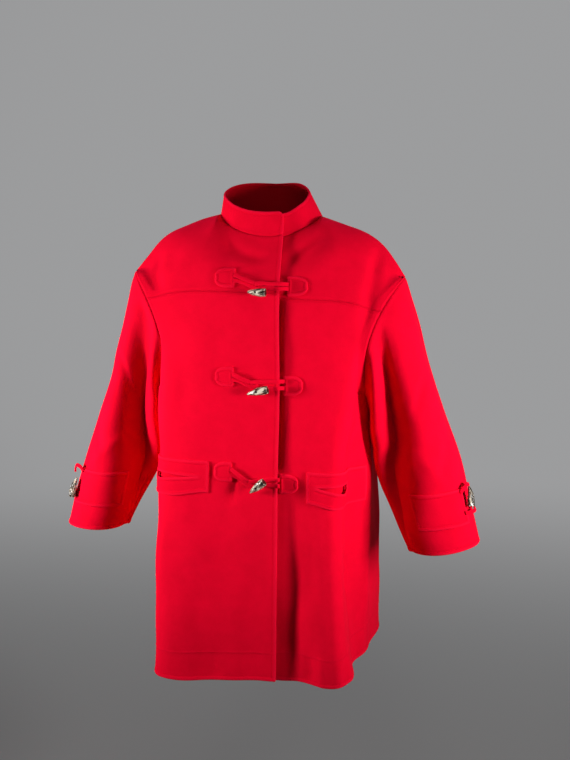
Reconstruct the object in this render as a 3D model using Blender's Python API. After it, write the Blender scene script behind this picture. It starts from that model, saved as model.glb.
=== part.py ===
# A hip-length duffle coat in thick melton cloth, hanging in the shape of a general figure
# with nothing inside it. Metres, +Z up, the front faces -Y. The origin is the middle of
# the neck's base. "right" and "left" are the wearer's: the right side is at -X.
import math

import bmesh
import bpy
import numpy as np
from mathutils import Vector, kdtree
from mathutils.bvhtree import BVHTree

RIGHT, LEFT = -1, 1

# ---------------------------------------------------------------- driving dimensions
WALL = 0.0024            # thickness of the melton
SEAM = 0.0003            # gap left between two pieces that are sewn together
LIFT = 0.0005            # gap below a piece that lies on a panel
LEAN = 0.03              # how much lower the left side hangs, per metre of width
LEFT_DROP = 0.011        # the left front is buttoned this much lower

NECK_WIDTH = 0.105       # half width of the neckline
NECK_FRONT = 0.088       # reach of the neckline in front of and behind the origin
NECK_BACK = 0.078
NECK_DIP = 0.043         # the neckline's lowest point, at the front
NECK_RISE = 0.018        # and its highest, at the back
HEM = -0.923
HEM_LEVEL = 1.8          # the hem is cut so as to hang level, a little more than the lean
UNDERLAP_DROP = 0.005    # the underlap shows this far below the right front's hem
OVERLAP = 0.037          # the right front runs this far past the middle
UNDERLAP = 0.045         # and the left front this far the other way, underneath
SET_BACK = 0.0058        # depth of the underlap below the right front
SET_BACK_FADE = 0.11     # width over which the left front comes level again
FOLD_FADE = 0.08         # the body's folds start this far below the armhole's seam
SHOULDER_ROUND = 0.105   # drop over which the shoulder rounds into the chest and back
NECK_SLOPE = 1.7         # steepness with which the chest leaves the neckline

ARC_POWER = 2.4          # how flat the chest is before it curves to the armhole
ARC_END = -0.315         # where the arc starts to give way to the squared-off section
ARC_FADE = 0.14
YOKE = -0.155            # the yoke seam, and its drop towards the armhole
YOKE_FALL = 0.018

COLLAR_FRONT = 0.048     # height of the stand collar at the front and at the back
COLLAR_BACK = 0.062
COLLAR_TILT = 0.017      # its top edge leans in by this much, and more on the left
COLLAR_TILT_LEFT = 0.010
COLLAR_CORNER = 0.012    # reach and depth of its rounded front corner

POCKET_TOP = -0.4925     # the stitched frame around each pocket
POCKET_DEPTH = 0.070
POCKET_INNER = 0.095     # distance of its inner end from the middle
POCKET_OUTER = 0.90      # its outer end, as a share of the front's width
SLIT_INNER = 0.117
SLIT_TOP = 0.021         # the slit's upper lip below the frame's top, and its height
SLIT_HEIGHT = 0.015
BAG_DEPTH = 0.17         # the pocket's cloth hangs this far below the frame's top
BAG_SET_BACK = 0.018     # and this far behind the front, less along its edges
BAG_EDGE = 0.0042

PATCH_WIDTH = 0.036
PATCH_HEIGHT = 0.035
PATCH_LIFT = 0.0010      # gap below a patch
PATCH_INNER = 0.053      # distance of a patch's straight end from the middle
STRAP_DROP = 0.017       # the left patches sit this much lower than the right ones
STRAP_WIDTH = 0.0078
STRAP_THICK = 0.0040
STRAP_GAP = 0.0008       # from a strap to its patch, and half of that between strands

# The right sleeve hangs narrower, its cuff swings further out and slopes less.
SLEEVE_FULL = {RIGHT: 0.95, LEFT: 1.03}
CUFF_SWING = {RIGHT: 0.006, LEFT: 0.0}
CUFF_RISE = {RIGHT: -0.006, LEFT: 0.008}

TOGGLE_RADIUS = 0.0083
TAB_FROM = 117.0         # the cuff tab's ends, in degrees around the sleeve
TAB_TO = 37.0
TAB_TOP = -0.543         # height of its upper edge, rising outwards by its slope
TAB_HEIGHT = 0.069
TAB_SLOPE = 0.10

RED = (0.62, 0.0, 0.012, 1.0)
DEEP_RED = (0.36, 0.0, 0.008, 1.0)
HORN = (0.22, 0.19, 0.14, 1.0)

# The body by height: reach of the front and of the back, how square each corner is, and
# where the side seam runs.
BODY_COLUMNS = ("z", "front", "back", "front_square", "back_square", "side_x", "side_y")
BODY = (
    (-1.00, 0.198, 0.192, 5.2, 3.6, 0.216, -0.020),
    (-0.92, 0.193, 0.188, 5.2, 3.5, 0.215, -0.020),
    (-0.70, 0.177, 0.170, 5.2, 3.2, 0.215, -0.020),
    (-0.50, 0.163, 0.154, 5.0, 3.0, 0.212, -0.026),
    (-0.40, 0.156, 0.148, 4.2, 2.9, 0.207, -0.034),
    (-0.33, 0.152, 0.145, 3.6, 2.8, 0.204, -0.044),
    (-0.25, 0.149, 0.142, 3.2, 2.7, 0.204, -0.044),
    (-0.15, 0.140, 0.134, 2.8, 2.6, 0.204, -0.044),
    (-0.08, 0.124, 0.116, 2.5, 2.4, 0.204, -0.044),
    (0.02, 0.100, 0.090, 2.3, 2.2, 0.204, -0.044),
)
# The shoulder line, as shares of its length.
SHOULDER_COLUMNS = ("share", "x", "y", "z")
SHOULDER = (
    (0.00, 0.105, 0.000, 0.004),
    (0.25, 0.158, -0.006, -0.013),
    (0.50, 0.207, -0.016, -0.034),
    (0.70, 0.238, -0.026, -0.060),
    (0.85, 0.258, -0.036, -0.088),
    (1.00, 0.278, -0.044, -0.117),
)
# The sleeve's rings by share of its length: centre, the way from there to the ring's outer
# point, its reach to the front and to the back, and how far those points lie inwards.
SLEEVE_COLUMNS = ("share", "x", "y", "z", "out_x", "out_z", "front", "back", "inset")
SLEEVE = (
    (0.00, 0.2410, -0.044, -0.235, 0.037, 0.118, 0.074, 0.088, 0.028),
    (0.06, 0.2500, -0.042, -0.253, 0.038, 0.109, 0.077, 0.092, 0.019),
    (0.14, 0.2590, -0.038, -0.282, 0.041, 0.099, 0.079, 0.095, 0.010),
    (0.30, 0.2715, -0.030, -0.347, 0.052, 0.076, 0.082, 0.096, 0.003),
    (0.50, 0.2880, -0.024, -0.425, 0.067, 0.050, 0.081, 0.092, 0.000),
    (0.70, 0.3160, -0.030, -0.514, 0.077, 0.027, 0.076, 0.084, 0.000),
    (0.85, 0.3410, -0.040, -0.588, 0.075, 0.013, 0.069, 0.075, 0.000),
    (1.00, 0.3660, -0.052, -0.663, 0.068, 0.008, 0.062, 0.066, 0.000),
)
# Folds of the body: side, place around it (0 middle front, 1 side seam, 2 middle back),
# height where it starts and where it is full, reach outwards, and width.
FOLD_COLUMNS = ("side", "ring", "top", "full", "reach", "width")
FOLDS = (
    (-1, 0.00, -0.62, -0.92, -0.006, 0.16),
    (-1, 0.40, -0.50, -0.92, 0.012, 0.12),
    (-1, 0.64, -0.40, -0.75, 0.007, 0.13),
    (-1, 1.00, -0.40, -0.80, -0.010, 0.16),
    (-1, 1.37, -0.25, -0.65, 0.030, 0.19),
    (-1, 1.78, -0.45, -0.92, -0.010, 0.12),
    (1, 0.00, -0.62, -0.92, -0.006, 0.16),
    (1, 0.24, -0.45, -0.85, -0.007, 0.07),
    (1, 0.43, -0.45, -0.90, 0.014, 0.11),
    (1, 0.84, -0.50, -0.92, -0.017, 0.17),
    (1, 1.38, -0.22, -0.65, 0.038, 0.20),
    (1, 1.74, -0.45, -0.92, -0.012, 0.13),
)
# Folds of the sleeves: side, angle around the sleeve at its top and its cuff, shares of
# the length between which it shows, reach outwards, and width in degrees.
CREASE_COLUMNS = ("side", "angle_top", "angle_cuff", "start", "end", "reach", "width")
CREASES = (
    (-1, 70, 58, 0.05, 0.76, 0.006, 16),
    (-1, 105, 88, 0.10, 0.78, -0.007, 15),
    (-1, 136, 118, 0.20, 0.75, 0.006, 15),
    (-1, -80, -70, 0.15, 0.80, -0.006, 18),
    (1, 64, 52, 0.05, 0.76, 0.006, 16),
    (1, 100, 84, 0.08, 0.78, -0.008, 15),
    (1, 134, 116, 0.20, 0.76, 0.006, 15),
    (1, -85, -72, 0.15, 0.80, -0.006, 18),
)
# The front fastenings: height of the right patch, then the toggle's tip and butt from the
# middle of the coat at that height, and how far its middle line stands off the cloth.
FASTENING_COLUMNS = ("z", "tip_x", "tip_z", "butt_x", "butt_z", "lift")
FASTENINGS = (
    (-0.127, -0.025, -0.031, 0.016, -0.031, 0.0146),
    (-0.320, -0.026, -0.030, 0.017, -0.021, 0.0180),
    (-0.514, -0.017, -0.036, 0.012, -0.012, 0.0178),
)
# A toggle by share of its length from butt to tip: its radius and its bow.
HORN_COLUMNS = ("share", "radius", "bow")
HORN_SHAPE = (
    (0.00, 0.90, 0.000),
    (0.10, 1.00, 0.000),
    (0.40, 0.98, 0.001),
    (0.65, 0.80, 0.002),
    (0.85, 0.52, 0.001),
    (1.00, 0.24, -0.001),
)

# A patch by share of its width: how much of its height it keeps there.
PATCH_OUTLINE = ((0.0, 1.0), (0.35, 1.0), (0.65, 0.92), (0.86, 0.74), (1.0, 0.42))

# How each panel is divided: across the overlap, the neckline and the shoulder line, down
# the armhole above and below the yoke seam, and below the armhole.
NECK_SHARE = 0.33
CORNER_SHARE = 0.57
LAP_STEPS = (-1.0, -0.5)
NECK_STEPS = 3
SHOULDER_STEPS = (0.0, 0.14, 0.27, 0.36, 0.44, 0.52, 0.60, 0.70, 0.80, 0.90, 1.0)
YOKE_STEPS = 4
ARMHOLE_STEPS = 5
SIDE_STEPS = 8
SLEEVE_STEPS = 12
COLLAR_STEPS = 3
NECK_BACK_STEPS = 4
PROBE = 0.002            # half the distance over which a panel's slope is taken

PANELS = {}
SIDE_NAMES = {RIGHT: "right", LEFT: "left"}


# ---------------------------------------------------------------- shape functions
def column(rows, names, name):
    return np.array([row[names.index(name)] for row in rows], dtype=float)


def spline(xs, ys, x):
    """Smooth curve through a table's rows, with slopes taken from their neighbours."""
    order = np.argsort(xs)
    xs, ys = xs[order], ys[order]
    slopes = np.gradient(ys, xs)
    i = np.clip(np.searchsorted(xs, x) - 1, 0, len(xs) - 2)
    step = xs[i + 1] - xs[i]
    t = np.clip((x - xs[i]) / step, 0.0, 1.0)
    low = (2 * t**3 - 3 * t**2 + 1) * ys[i] + (t**3 - 2 * t**2 + t) * step * slopes[i]
    high = (3 * t**2 - 2 * t**3) * ys[i + 1] + (t**3 - t**2) * step * slopes[i + 1]
    return low + high


def body(name, z):
    heights = column(BODY, BODY_COLUMNS, "z")
    return spline(heights, column(BODY, BODY_COLUMNS, name), z)


def sleeve(name, share):
    shares = column(SLEEVE, SLEEVE_COLUMNS, "share")
    return spline(shares, column(SLEEVE, SLEEVE_COLUMNS, name), share)


def smooth(t):
    t = np.clip(t, 0.0, 1.0)
    return t * t * (3 - 2 * t)


def side_edge(back, z):
    """Where a front or the back ends: the armhole and, below it, the side seam."""
    centre_x, centre_y, centre_z, out_x, out_z, front, rear, inset = SLEEVE[0][1:]
    cosine = np.clip((z - centre_z) / out_z, -1.0, 1.0)
    sine = np.sqrt(1 - cosine**2)
    armhole_x = centre_x + out_x * cosine - inset * sine**2
    armhole_y = centre_y + sine * (rear if back else -front)
    below = z < centre_z - out_z - 1e-6
    return np.where(below, body("side_x", z), armhole_x), np.where(below, body("side_y", z), armhole_y)


def neckline(angle):
    """Point of the neckline at an angle from the middle front, towards +X."""
    cosine = np.cos(angle)
    reach = np.where(cosine > 0, NECK_FRONT, NECK_BACK)
    mean, half = (NECK_RISE - NECK_DIP) / 2, (NECK_RISE + NECK_DIP) / 2
    height = mean * cosine**2 - half * cosine
    return NECK_WIDTH * np.sin(angle), -reach * cosine, height


def top_edge(side, back, share):
    """The panel's top edge: along the neckline, then along the shoulder line."""
    lap = OVERLAP if side == RIGHT else UNDERLAP
    lap_angle = math.asin(lap / NECK_WIDTH)
    angle = np.where(share < 0, share * lap_angle, share / NECK_SHARE * math.pi / 2)
    angle = np.clip(angle, -lap_angle, math.pi / 2)
    neck_x, neck_y, neck_z = neckline(math.pi - angle if back else angle)
    along = np.clip((share - NECK_SHARE) / (1 - NECK_SHARE), 0.0, 1.0)
    shares = column(SHOULDER, SHOULDER_COLUMNS, "share")
    on_shoulder = share >= NECK_SHARE
    neck_z = neck_z + SHOULDER[0][3] * smooth(share / NECK_SHARE)
    return tuple(
        np.where(on_shoulder, spline(shares, column(SHOULDER, SHOULDER_COLUMNS, name), along), neck)
        for name, neck in (("x", neck_x), ("y", neck_y), ("z", neck_z))
    )


def body_point(side, back, share, z):
    """Point of the body: share runs from the middle (0) to the side (1), below 0 is lap."""
    facing = 1 if back else -1
    half, edge_y = side_edge(back, z)
    edge_y = edge_y * facing
    square = body("back_square" if back else "front_square", z)
    reach = body("back" if back else "front", z)
    lap = OVERLAP if side == RIGHT else UNDERLAP
    # below the armhole a squared-off section, beside it an arc that runs into the sleeve
    across = np.where(share < 0, share * lap / half, np.minimum(share / CORNER_SHARE, 1.0))
    along = np.clip((1 - share) / (1 - CORNER_SHARE), 0.0, 1.0)
    scale = (np.abs(across)**square + along**square)**(-1 / square)
    part = np.where(share < 0, share * lap / half, 1.5 * share - 0.5 * share**2)
    arc = 1 - np.abs(part)**ARC_POWER
    squared = smooth((ARC_END - z) / ARC_FADE)
    x = half * (part + (across * scale - part) * squared)
    y = edge_y + (reach - edge_y) * (arc + (along * scale - arc) * squared)
    # the shoulder rounds from its top edge into the section
    top_x, top_y, top_z = top_edge(side, back, share)
    at_edge = smooth((share - 0.8) / 0.2)
    drop = np.clip((top_z - z) / (SHOULDER_ROUND * (1.001 - at_edge)), 0.0, 1.0)
    rounding = np.sqrt(1 - (1 - drop)**2)
    at_neck = 1 - smooth(share / NECK_SHARE)
    rounding = rounding + (1 - (1 - drop)**NECK_SLOPE - rounding) * at_neck
    blend = smooth(drop)
    top_y = top_y * facing
    x = top_x + (x - top_x) * blend
    y = top_y + (y - top_y) * rounding
    # folds reach out along the section's own direction, but not at the armhole's seam
    ring = 2 - share if back else np.maximum(share, 0.0)
    out_x, out_y = x / 0.20**2, y / 0.17**2
    length = np.hypot(out_x, out_y)
    underarm = SLEEVE[0][3] - SLEEVE[0][5]
    held = smooth((share - 0.7) / 0.3) * smooth((z - underarm) / FOLD_FADE + 1)
    for fold_side, place, start, full, amount, width in FOLDS:
        if fold_side == side:
            fade = smooth((start - z) / (start - full)) * (1 - held)
            push = amount * fade * np.exp(-((ring - place) / width)**2)
            x = x + push * out_x / length
            y = y + push * out_y / length
    if side == LEFT and not back:
        fade = SET_BACK_FADE * (0.35 + 0.65 * smooth(drop))
        under = 1 - smooth((x - OVERLAP - 0.004) / fade)
        y = y - SET_BACK * under
        z = z - SET_BACK * 0.6 * under * (1 - smooth(drop))
    return np.stack([x * side, y * facing, z + 0 * x], axis=-1)


def sleeve_point(side, angle, share):
    """Point of a sleeve: angle 0 is its outer line, 90 its front, 180 the underarm."""
    turn = np.radians(angle)
    cosine, sine = np.cos(turn), np.sin(turn)
    reach = 1.0 + 0 * turn * share
    for crease_side, top, cuff, start, end, amount, width in CREASES:
        if crease_side == side:
            place = top + (cuff - top) * share
            shown = smooth((share - start) / 0.2) * smooth((end - share) / 0.2)
            push = amount * shown * np.exp(-((angle - place) / width)**2)
            reach = reach + push / sleeve("front", share)
    depth = np.where(sine > 0, sleeve("front", share), sleeve("back", share))
    fuller = 1 + (SLEEVE_FULL[side] - 1) * smooth(share / 0.4)
    low = smooth((share - 0.5) / 0.5)
    x = sleeve("x", share) + sleeve("out_x", share) * cosine * reach * fuller
    x = x - sleeve("inset", share) * sine**2 + CUFF_SWING[side] * low
    y = sleeve("y", share) - depth * sine * reach
    z = sleeve("z", share) + (sleeve("out_z", share) + CUFF_RISE[side] * low) * cosine
    return np.stack([x * side, y, z], axis=-1)


def yoke_height(side, share):
    drop = LEFT_DROP if side == LEFT else 0.0
    return YOKE - drop - YOKE_FALL * smooth((share - 0.4) / 0.6)


def hem_height(side, share):
    """Height of the hem, cut to hang nearly level although the coat leans."""
    return HEM + LEAN * side * 0.2 * HEM_LEVEL * np.clip(share / CORNER_SHARE, 0.0, 1.0)


def armhole_angles(side):
    """Angles around the armhole where the panels are divided, from top to underarm."""
    centre_z, out_z = SLEEVE[0][3], SLEEVE[0][5]
    seam = math.degrees(math.acos((float(yoke_height(side, 1.0)) - centre_z) / out_z))
    upper = np.linspace(0.0, seam, YOKE_STEPS + 1)
    lower = np.linspace(seam, 180.0, ARMHOLE_STEPS + 1)
    return np.concatenate([upper, lower[1:]])


def side_heights(side):
    """Heights of the body's rows where they meet the armhole and the side seam."""
    centre_z, out_z = SLEEVE[0][3], SLEEVE[0][5]
    armhole = centre_z + out_z * np.cos(np.radians(armhole_angles(side)))
    below = np.linspace(armhole[-1], float(hem_height(side, 1.0)), SIDE_STEPS + 1)
    return np.concatenate([armhole, below[1:]])


def panel_columns(back):
    neck = np.linspace(0.0, NECK_SHARE, NECK_STEPS + 1)[:-1]
    if back:
        neck = np.linspace(0.0, NECK_SHARE, NECK_BACK_STEPS + 1)[:-1]
    shoulder = NECK_SHARE + (1 - NECK_SHARE) * np.array(SHOULDER_STEPS)
    return np.concatenate([neck if back else np.concatenate([LAP_STEPS, neck]), shoulder])


def rows_between(upper, lower, shares):
    """Heights of rows that divide each column as the side edge is divided."""
    return upper[None, :] + (lower - upper)[None, :] * shares[:, None]


# ---------------------------------------------------------------- building
def clear_scene():
    for item in list(bpy.data.objects):
        bpy.data.objects.remove(item)


def collection(name):
    group = bpy.data.collections.new(name)
    bpy.context.scene.collection.children.link(group)
    return group


def material(name, colour, roughness):
    made = bpy.data.materials.new(name)
    made.use_nodes = True
    shader = made.node_tree.nodes["Principled BSDF"]
    shader.inputs["Base Color"].default_value = colour
    shader.inputs["Roughness"].default_value = roughness
    shader.inputs["Metallic"].default_value = 0.0
    made.diffuse_color = colour
    return made


def lean(points):
    """The whole coat hangs a little lower on the left."""
    moved = np.array(points, dtype=float)
    moved[..., 2] -= LEAN * moved[..., 0]
    return moved


def unit(vectors):
    return vectors / np.maximum(np.linalg.norm(vectors, axis=-1, keepdims=True), 1e-12)


def grid_normals(grid, centre):
    normals = unit(np.cross(np.gradient(grid, axis=0), np.gradient(grid, axis=1)))
    outward = np.sum(normals * (grid - np.array(centre)))
    return normals if outward > 0 else -normals


def grid_faces(rows, columns, outer):
    """Faces of a wall: quads on its outer and inner side, and triangles along its edges.

    Two pieces sewn together split their edges the same way, so that they stay apart."""
    count = rows * columns
    faces = []
    for i in range(rows - 1):
        for j in range(columns - 1):
            a = i * columns + j
            faces.append((a, a + 1, a + columns + 1, a + columns))
            faces.append(tuple(count + k for k in (a, a + columns, a + columns + 1, a + 1)))
    rim = [j for j in range(columns)]
    rim += [i * columns + columns - 1 for i in range(1, rows)]
    rim += [(rows - 1) * columns + j for j in range(columns - 2, -1, -1)]
    rim += [i * columns for i in range(rows - 2, 0, -1)]
    rank = outer.reshape(-1, 3) @ np.array([0.3, 0.6, 1.0])
    for a, b in zip(rim, rim[1:] + rim[:1]):
        if rank[a] > rank[b]:
            faces += [(b, a, count + b), (a, count + a, count + b)]
        else:
            faces += [(b, a, count + a), (b, count + a, count + b)]
    return faces


def mesh_object(name, points, faces, paint, group):
    mesh = bpy.data.meshes.new(name)
    mesh.from_pydata([tuple(p) for p in points], [], faces)
    built = bmesh.new()
    built.from_mesh(mesh)
    bmesh.ops.recalc_face_normals(built, faces=built.faces)
    built.to_mesh(mesh)
    built.free()
    mesh.shade_smooth()
    mesh.set_sharp_from_angle(angle=math.radians(50))
    mesh.materials.append(paint)
    item = bpy.data.objects.new(name, mesh)
    group.objects.link(item)
    return item


def wall(name, grid, normals, paint, group, thickness=WALL):
    """A closed cloth wall around a grid of points, half its thickness to each side."""
    half = normals * thickness / 2
    points = np.concatenate([(grid + half).reshape(-1, 3), (grid - half).reshape(-1, 3)])
    return mesh_object(name, points, grid_faces(*grid.shape[:2], grid), paint, group)


def add_panel(name, grid, centre):
    PANELS[name] = {"grid": grid, "normals": grid_normals(grid, centre)}


def shorten(grid, gap):
    """Draw each edge of a grid back along the cloth by a gap."""
    moved = grid.copy()
    moved[0] += unit(grid[1] - grid[0]) * gap
    moved[-1] += unit(grid[-2] - grid[-1]) * gap
    moved[:, 0] += unit(grid[:, 1] - grid[:, 0]) * gap
    moved[:, -1] += unit(grid[:, -2] - grid[:, -1]) * gap
    return moved


def sew_panels():
    """Give the pieces that meet in a seam one shared direction of thickness there."""
    points = np.concatenate([panel["grid"].reshape(-1, 3) for panel in PANELS.values()])
    normals = np.concatenate([panel["normals"].reshape(-1, 3) for panel in PANELS.values()])
    tree = kdtree.KDTree(len(points))
    for index, point in enumerate(points):
        tree.insert(Vector(point), index)
    tree.balance()
    shared = np.array([
        sum(normals[found[1]] for found in tree.find_range(Vector(point), 0.00002))
        for point in points
    ])
    start = 0
    for panel in PANELS.values():
        shape = panel["grid"].shape
        end = start + shape[0] * shape[1]
        panel["normals"] = unit(shared[start:end]).reshape(shape)
        panel["grid"] = shorten(panel["grid"], SEAM / 2)
        start = end


def make_fronts():
    for side in (RIGHT, LEFT):
        shares = panel_columns(back=False)
        heights = side_heights(side)
        top = top_edge(side, False, shares)[2]
        seam = yoke_height(side, shares)
        upper = heights[0] - heights[:YOKE_STEPS + 1]
        upper = upper / upper[-1]
        lower = heights[YOKE_STEPS] - heights[YOKE_STEPS:]
        lower = lower / lower[-1]
        drop = UNDERLAP_DROP * (1 - smooth(shares)) if side == LEFT else 0.0
        hem = hem_height(side, shares) - drop
        name = SIDE_NAMES[side]
        across = np.broadcast_to(shares, (len(upper), len(shares)))
        grid = body_point(side, False, across, rows_between(top, seam, upper))
        add_panel("yoke_" + name, lean(grid), (0, 0, -0.45))
        across = np.broadcast_to(shares, (len(lower), len(shares)))
        grid = body_point(side, False, across, rows_between(seam, hem, lower))
        add_panel("front_" + name, lean(grid), (0, 0, -0.45))


def make_back():
    halves = []
    for side in (RIGHT, LEFT):
        shares = panel_columns(back=True)
        heights = side_heights(side)
        top = top_edge(side, True, shares)[2]
        down = (heights[0] - heights) / (heights[0] - heights[-1])
        across = np.broadcast_to(shares, (len(down), len(shares)))
        rows = rows_between(top, hem_height(side, shares), down)
        halves.append(body_point(side, True, across, rows))
    grid = np.concatenate([halves[0][:, :0:-1], halves[1]], axis=1)
    add_panel("back", lean(grid), (0, 0, -0.45))


def make_sleeves():
    for side in (RIGHT, LEFT):
        for part, turn in (("front", 1), ("back", -1)):
            angles, shares = np.meshgrid(
                armhole_angles(side) * turn, np.linspace(0, 1, SLEEVE_STEPS + 1)**1.15)
            grid = sleeve_point(side, angles, shares)
            name = "sleeve_%s_%s" % (part, SIDE_NAMES[side])
            add_panel(name, lean(grid), (side * 0.3, -0.02, -0.42))


def make_collar():
    base = []
    for side in (RIGHT, LEFT):
        front = panel_columns(back=False)
        front = front[front <= NECK_SHARE + 1e-9]
        back = panel_columns(back=True)
        back = back[back < NECK_SHARE - 1e-9][::-1]
        run = [body_point(side, False, front, top_edge(side, False, front)[2])]
        run.append(body_point(side, True, back, top_edge(side, True, back)[2]))
        base.append(np.concatenate(run))
    line = np.concatenate([base[0], base[1][-2::-1]])
    around = smooth((line[:, 1] + NECK_FRONT) / (NECK_FRONT + NECK_BACK))
    height = COLLAR_FRONT + (COLLAR_BACK - COLLAR_FRONT) * smooth(line[:, 1] / NECK_BACK)
    inward = -unit(line * np.array([1.0, 1.0, 0.0]))
    tilt = COLLAR_TILT + COLLAR_TILT_LEFT * line[:, 0] / NECK_WIDTH
    tilt = tilt * smooth(np.abs(line[:, 0]) / NECK_WIDTH * 0.7 + around * 0.5)
    for end in (0, -1):
        height[end] -= COLLAR_CORNER
    rows = np.linspace(0.0, 1.0, COLLAR_STEPS + 1)[:, None, None]
    grid = line[None] + rows * inward[None] * tilt[None, :, None]
    grid = grid + rows * height[None, :, None] * np.array([0.0, 0.0, 1.0])
    add_panel("collar", lean(grid), (0, 0, 0.03))


def surface_grid(place, first, second):
    """Points and outward directions of a surface over two ranges of its parameters."""
    a, b = np.meshgrid(first, second)
    step = 1e-4
    point = place(a, b)
    along = place(a + step, b) - place(a - step, b)
    down = place(a, b + step) - place(a, b - step)
    return point, unit(np.cross(along, down))


def front_place(items, name):
    """The outer side of a front and its yoke, seen straight from the front."""
    trees = [BVHTree.FromPolygons([v.co for v in item.data.vertices],
                                  [p.vertices for p in item.data.polygons])
             for item in (items["yoke_" + name], items["front_" + name])]

    def reach(x, z):
        hits = [tree.ray_cast(Vector((x, -1.0, z)), Vector((0.0, 1.0, 0.0)))[0] for tree in trees]
        return min(hit.y for hit in hits if hit is not None)

    def place(x, z):
        """Point at a distance from the middle and a height, and the direction out of it."""
        z = z - LEAN * x
        side = PROBE
        slope_x = (reach(x + side, z) - reach(x - side, z)) / (2 * side)
        slope_z = (reach(x, z + side) - reach(x, z - side)) / (2 * side)
        out = unit(np.array([slope_x, -1.0, slope_z]))
        return np.array([x, reach(x, z), z]), out

    return place


def lap_place(items):
    """Either front, whichever lies on top: the right one as far as its front edge."""
    right, left = front_place(items, "right"), front_place(items, "left")
    edge = OVERLAP - 2 * PROBE

    def place(x, z):
        if x > OVERLAP + 0.006:
            return left(x, z)
        point, out = right(min(x, edge), z)
        return point + np.array([max(x - edge, 0.0), 0.0, 0.0]), out

    return place


def on_surface(place, first, second, lift):
    """A grid on a panel, moved out by a lift measured to its own middle."""
    point, normal = surface_grid(place, first, second)
    centre = np.array([0.0, 0.0, -0.45])
    if np.sum(normal * (point - centre)) < 0:
        normal = -normal
    return point + normal * lift, normal


def make_patches(items, paint, group):
    """A small patch with a straight inner end and a round outer end under each strap."""
    for number, row in enumerate(FASTENINGS, start=1):
        for side, name in SIDE_NAMES.items():
            place = front_place(items, name)
            middle = row[0] - (STRAP_DROP if side == LEFT else 0.0)
            grid, normals = [], []
            for up in np.linspace(1.0, -1.0, 6):
                spots = [place(side * (PATCH_INNER + PATCH_WIDTH * along),
                               middle + up * width * PATCH_HEIGHT / 2)
                         for along, width in PATCH_OUTLINE]
                grid.append([point + out * (PATCH_LIFT + WALL / 2) for point, out in spots])
                normals.append([out for point, out in spots])
            wall("patch_%s_%d" % (name, number), np.array(grid), np.array(normals), paint, group)


def strap(name, path, normals, paint, group):
    """A flat strap swept along a path, its flat side facing along the normals."""
    path, normals = np.array(path), np.array(normals)
    along = unit(np.gradient(path, axis=0))
    across = unit(np.cross(along, normals))
    out = unit(np.cross(across, along))
    turns = np.radians(np.arange(0, 360, 45) + 22.5)
    ring = (across[:, None] * np.cos(turns)[None, :, None] * STRAP_WIDTH / 2
            + out[:, None] * np.sin(turns)[None, :, None] * STRAP_THICK / 2)
    points = (path[:, None] + ring * 1.06).reshape(-1, 3)
    count = len(turns)
    faces = [tuple(range(count)), tuple(range(len(points) - 1, len(points) - count - 1, -1))]
    for i in range(len(path) - 1):
        for k in range(count):
            a, b = i * count + k, i * count + (k + 1) % count
            faces.append((a, b, b + count, a + count))
    return mesh_object(name, points, faces, paint, group)


def on_front(place, x, z, lift):
    """A point a given lift above a front, and the front's direction there."""
    point, out = place(x, z)
    return point + out * lift, out


def run_through(stops, count):
    """Evenly spaced points of a smooth curve through the stops of a route."""
    stops = np.array(stops)
    lengths = np.concatenate([[0.0], np.cumsum(np.linalg.norm(np.diff(stops, axis=0), axis=1))])
    wanted = np.linspace(0.0, lengths[-1], count)
    return np.stack([spline(lengths, stops[:, k], wanted) for k in range(stops.shape[1])], -1)


def make_front_straps(items, paint, group):
    """The left strap carries the toggle, the right one is the loop that holds it."""
    low = LIFT + STRAP_THICK / 2 + 0.0002
    high = low + STRAP_THICK + 0.0006
    half = STRAP_WIDTH / 2 + STRAP_GAP
    place = lap_place(items)
    for number, row in enumerate(FASTENINGS, start=1):
        z, tip_x, tip_z, butt_x, butt_z, _ = row
        grip_x = (tip_x + butt_x) / 2
        grip_z = z + (tip_z + butt_z) / 2 + 0.011
        start = -PATCH_INNER + STRAP_GAP
        # x, z and lift of the loop's route, out along its upper strand and back
        route = [
            (start, z + half, low), (start + 0.018, z + half - 0.001, low),
            (grip_x - 0.006, grip_z + 0.006, low), (grip_x + 0.006, grip_z + 0.003, low),
            (grip_x + 0.008, grip_z - 0.006, low), (grip_x - 0.004, grip_z - 0.008, low),
            (start + 0.018, z - half - 0.003, low), (start, z - half, low),
        ]
        stops = run_through(route, 22)
        found = [on_front(place, *stop) for stop in stops]
        strap("loop_right_%d" % number, [f[0] for f in found], [f[1] for f in found],
              paint, group)
        for strand, offset in (("upper", half), ("lower", -half)):
            level = z - STRAP_DROP + offset
            reach = PATCH_INNER - STRAP_GAP
            route = [
                (reach, level, low + 0.0002), (reach - 0.006, level, low + 0.0025),
                (OVERLAP + 0.003, level, low + 0.0012), (0.029, level - 0.001, low + 0.0016),
                (grip_x + 0.020, grip_z + offset, high), (grip_x + 0.010, grip_z + offset, high),
                (grip_x - 0.003, grip_z + offset - 0.002, high),
            ]
            stops = run_through(route, 12)
            found = [on_front(place, *stop) for stop in stops]
            strap("strap_left_%s_%d" % (strand, number), [f[0] for f in found],
                  [f[1] for f in found], paint, group)


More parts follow.
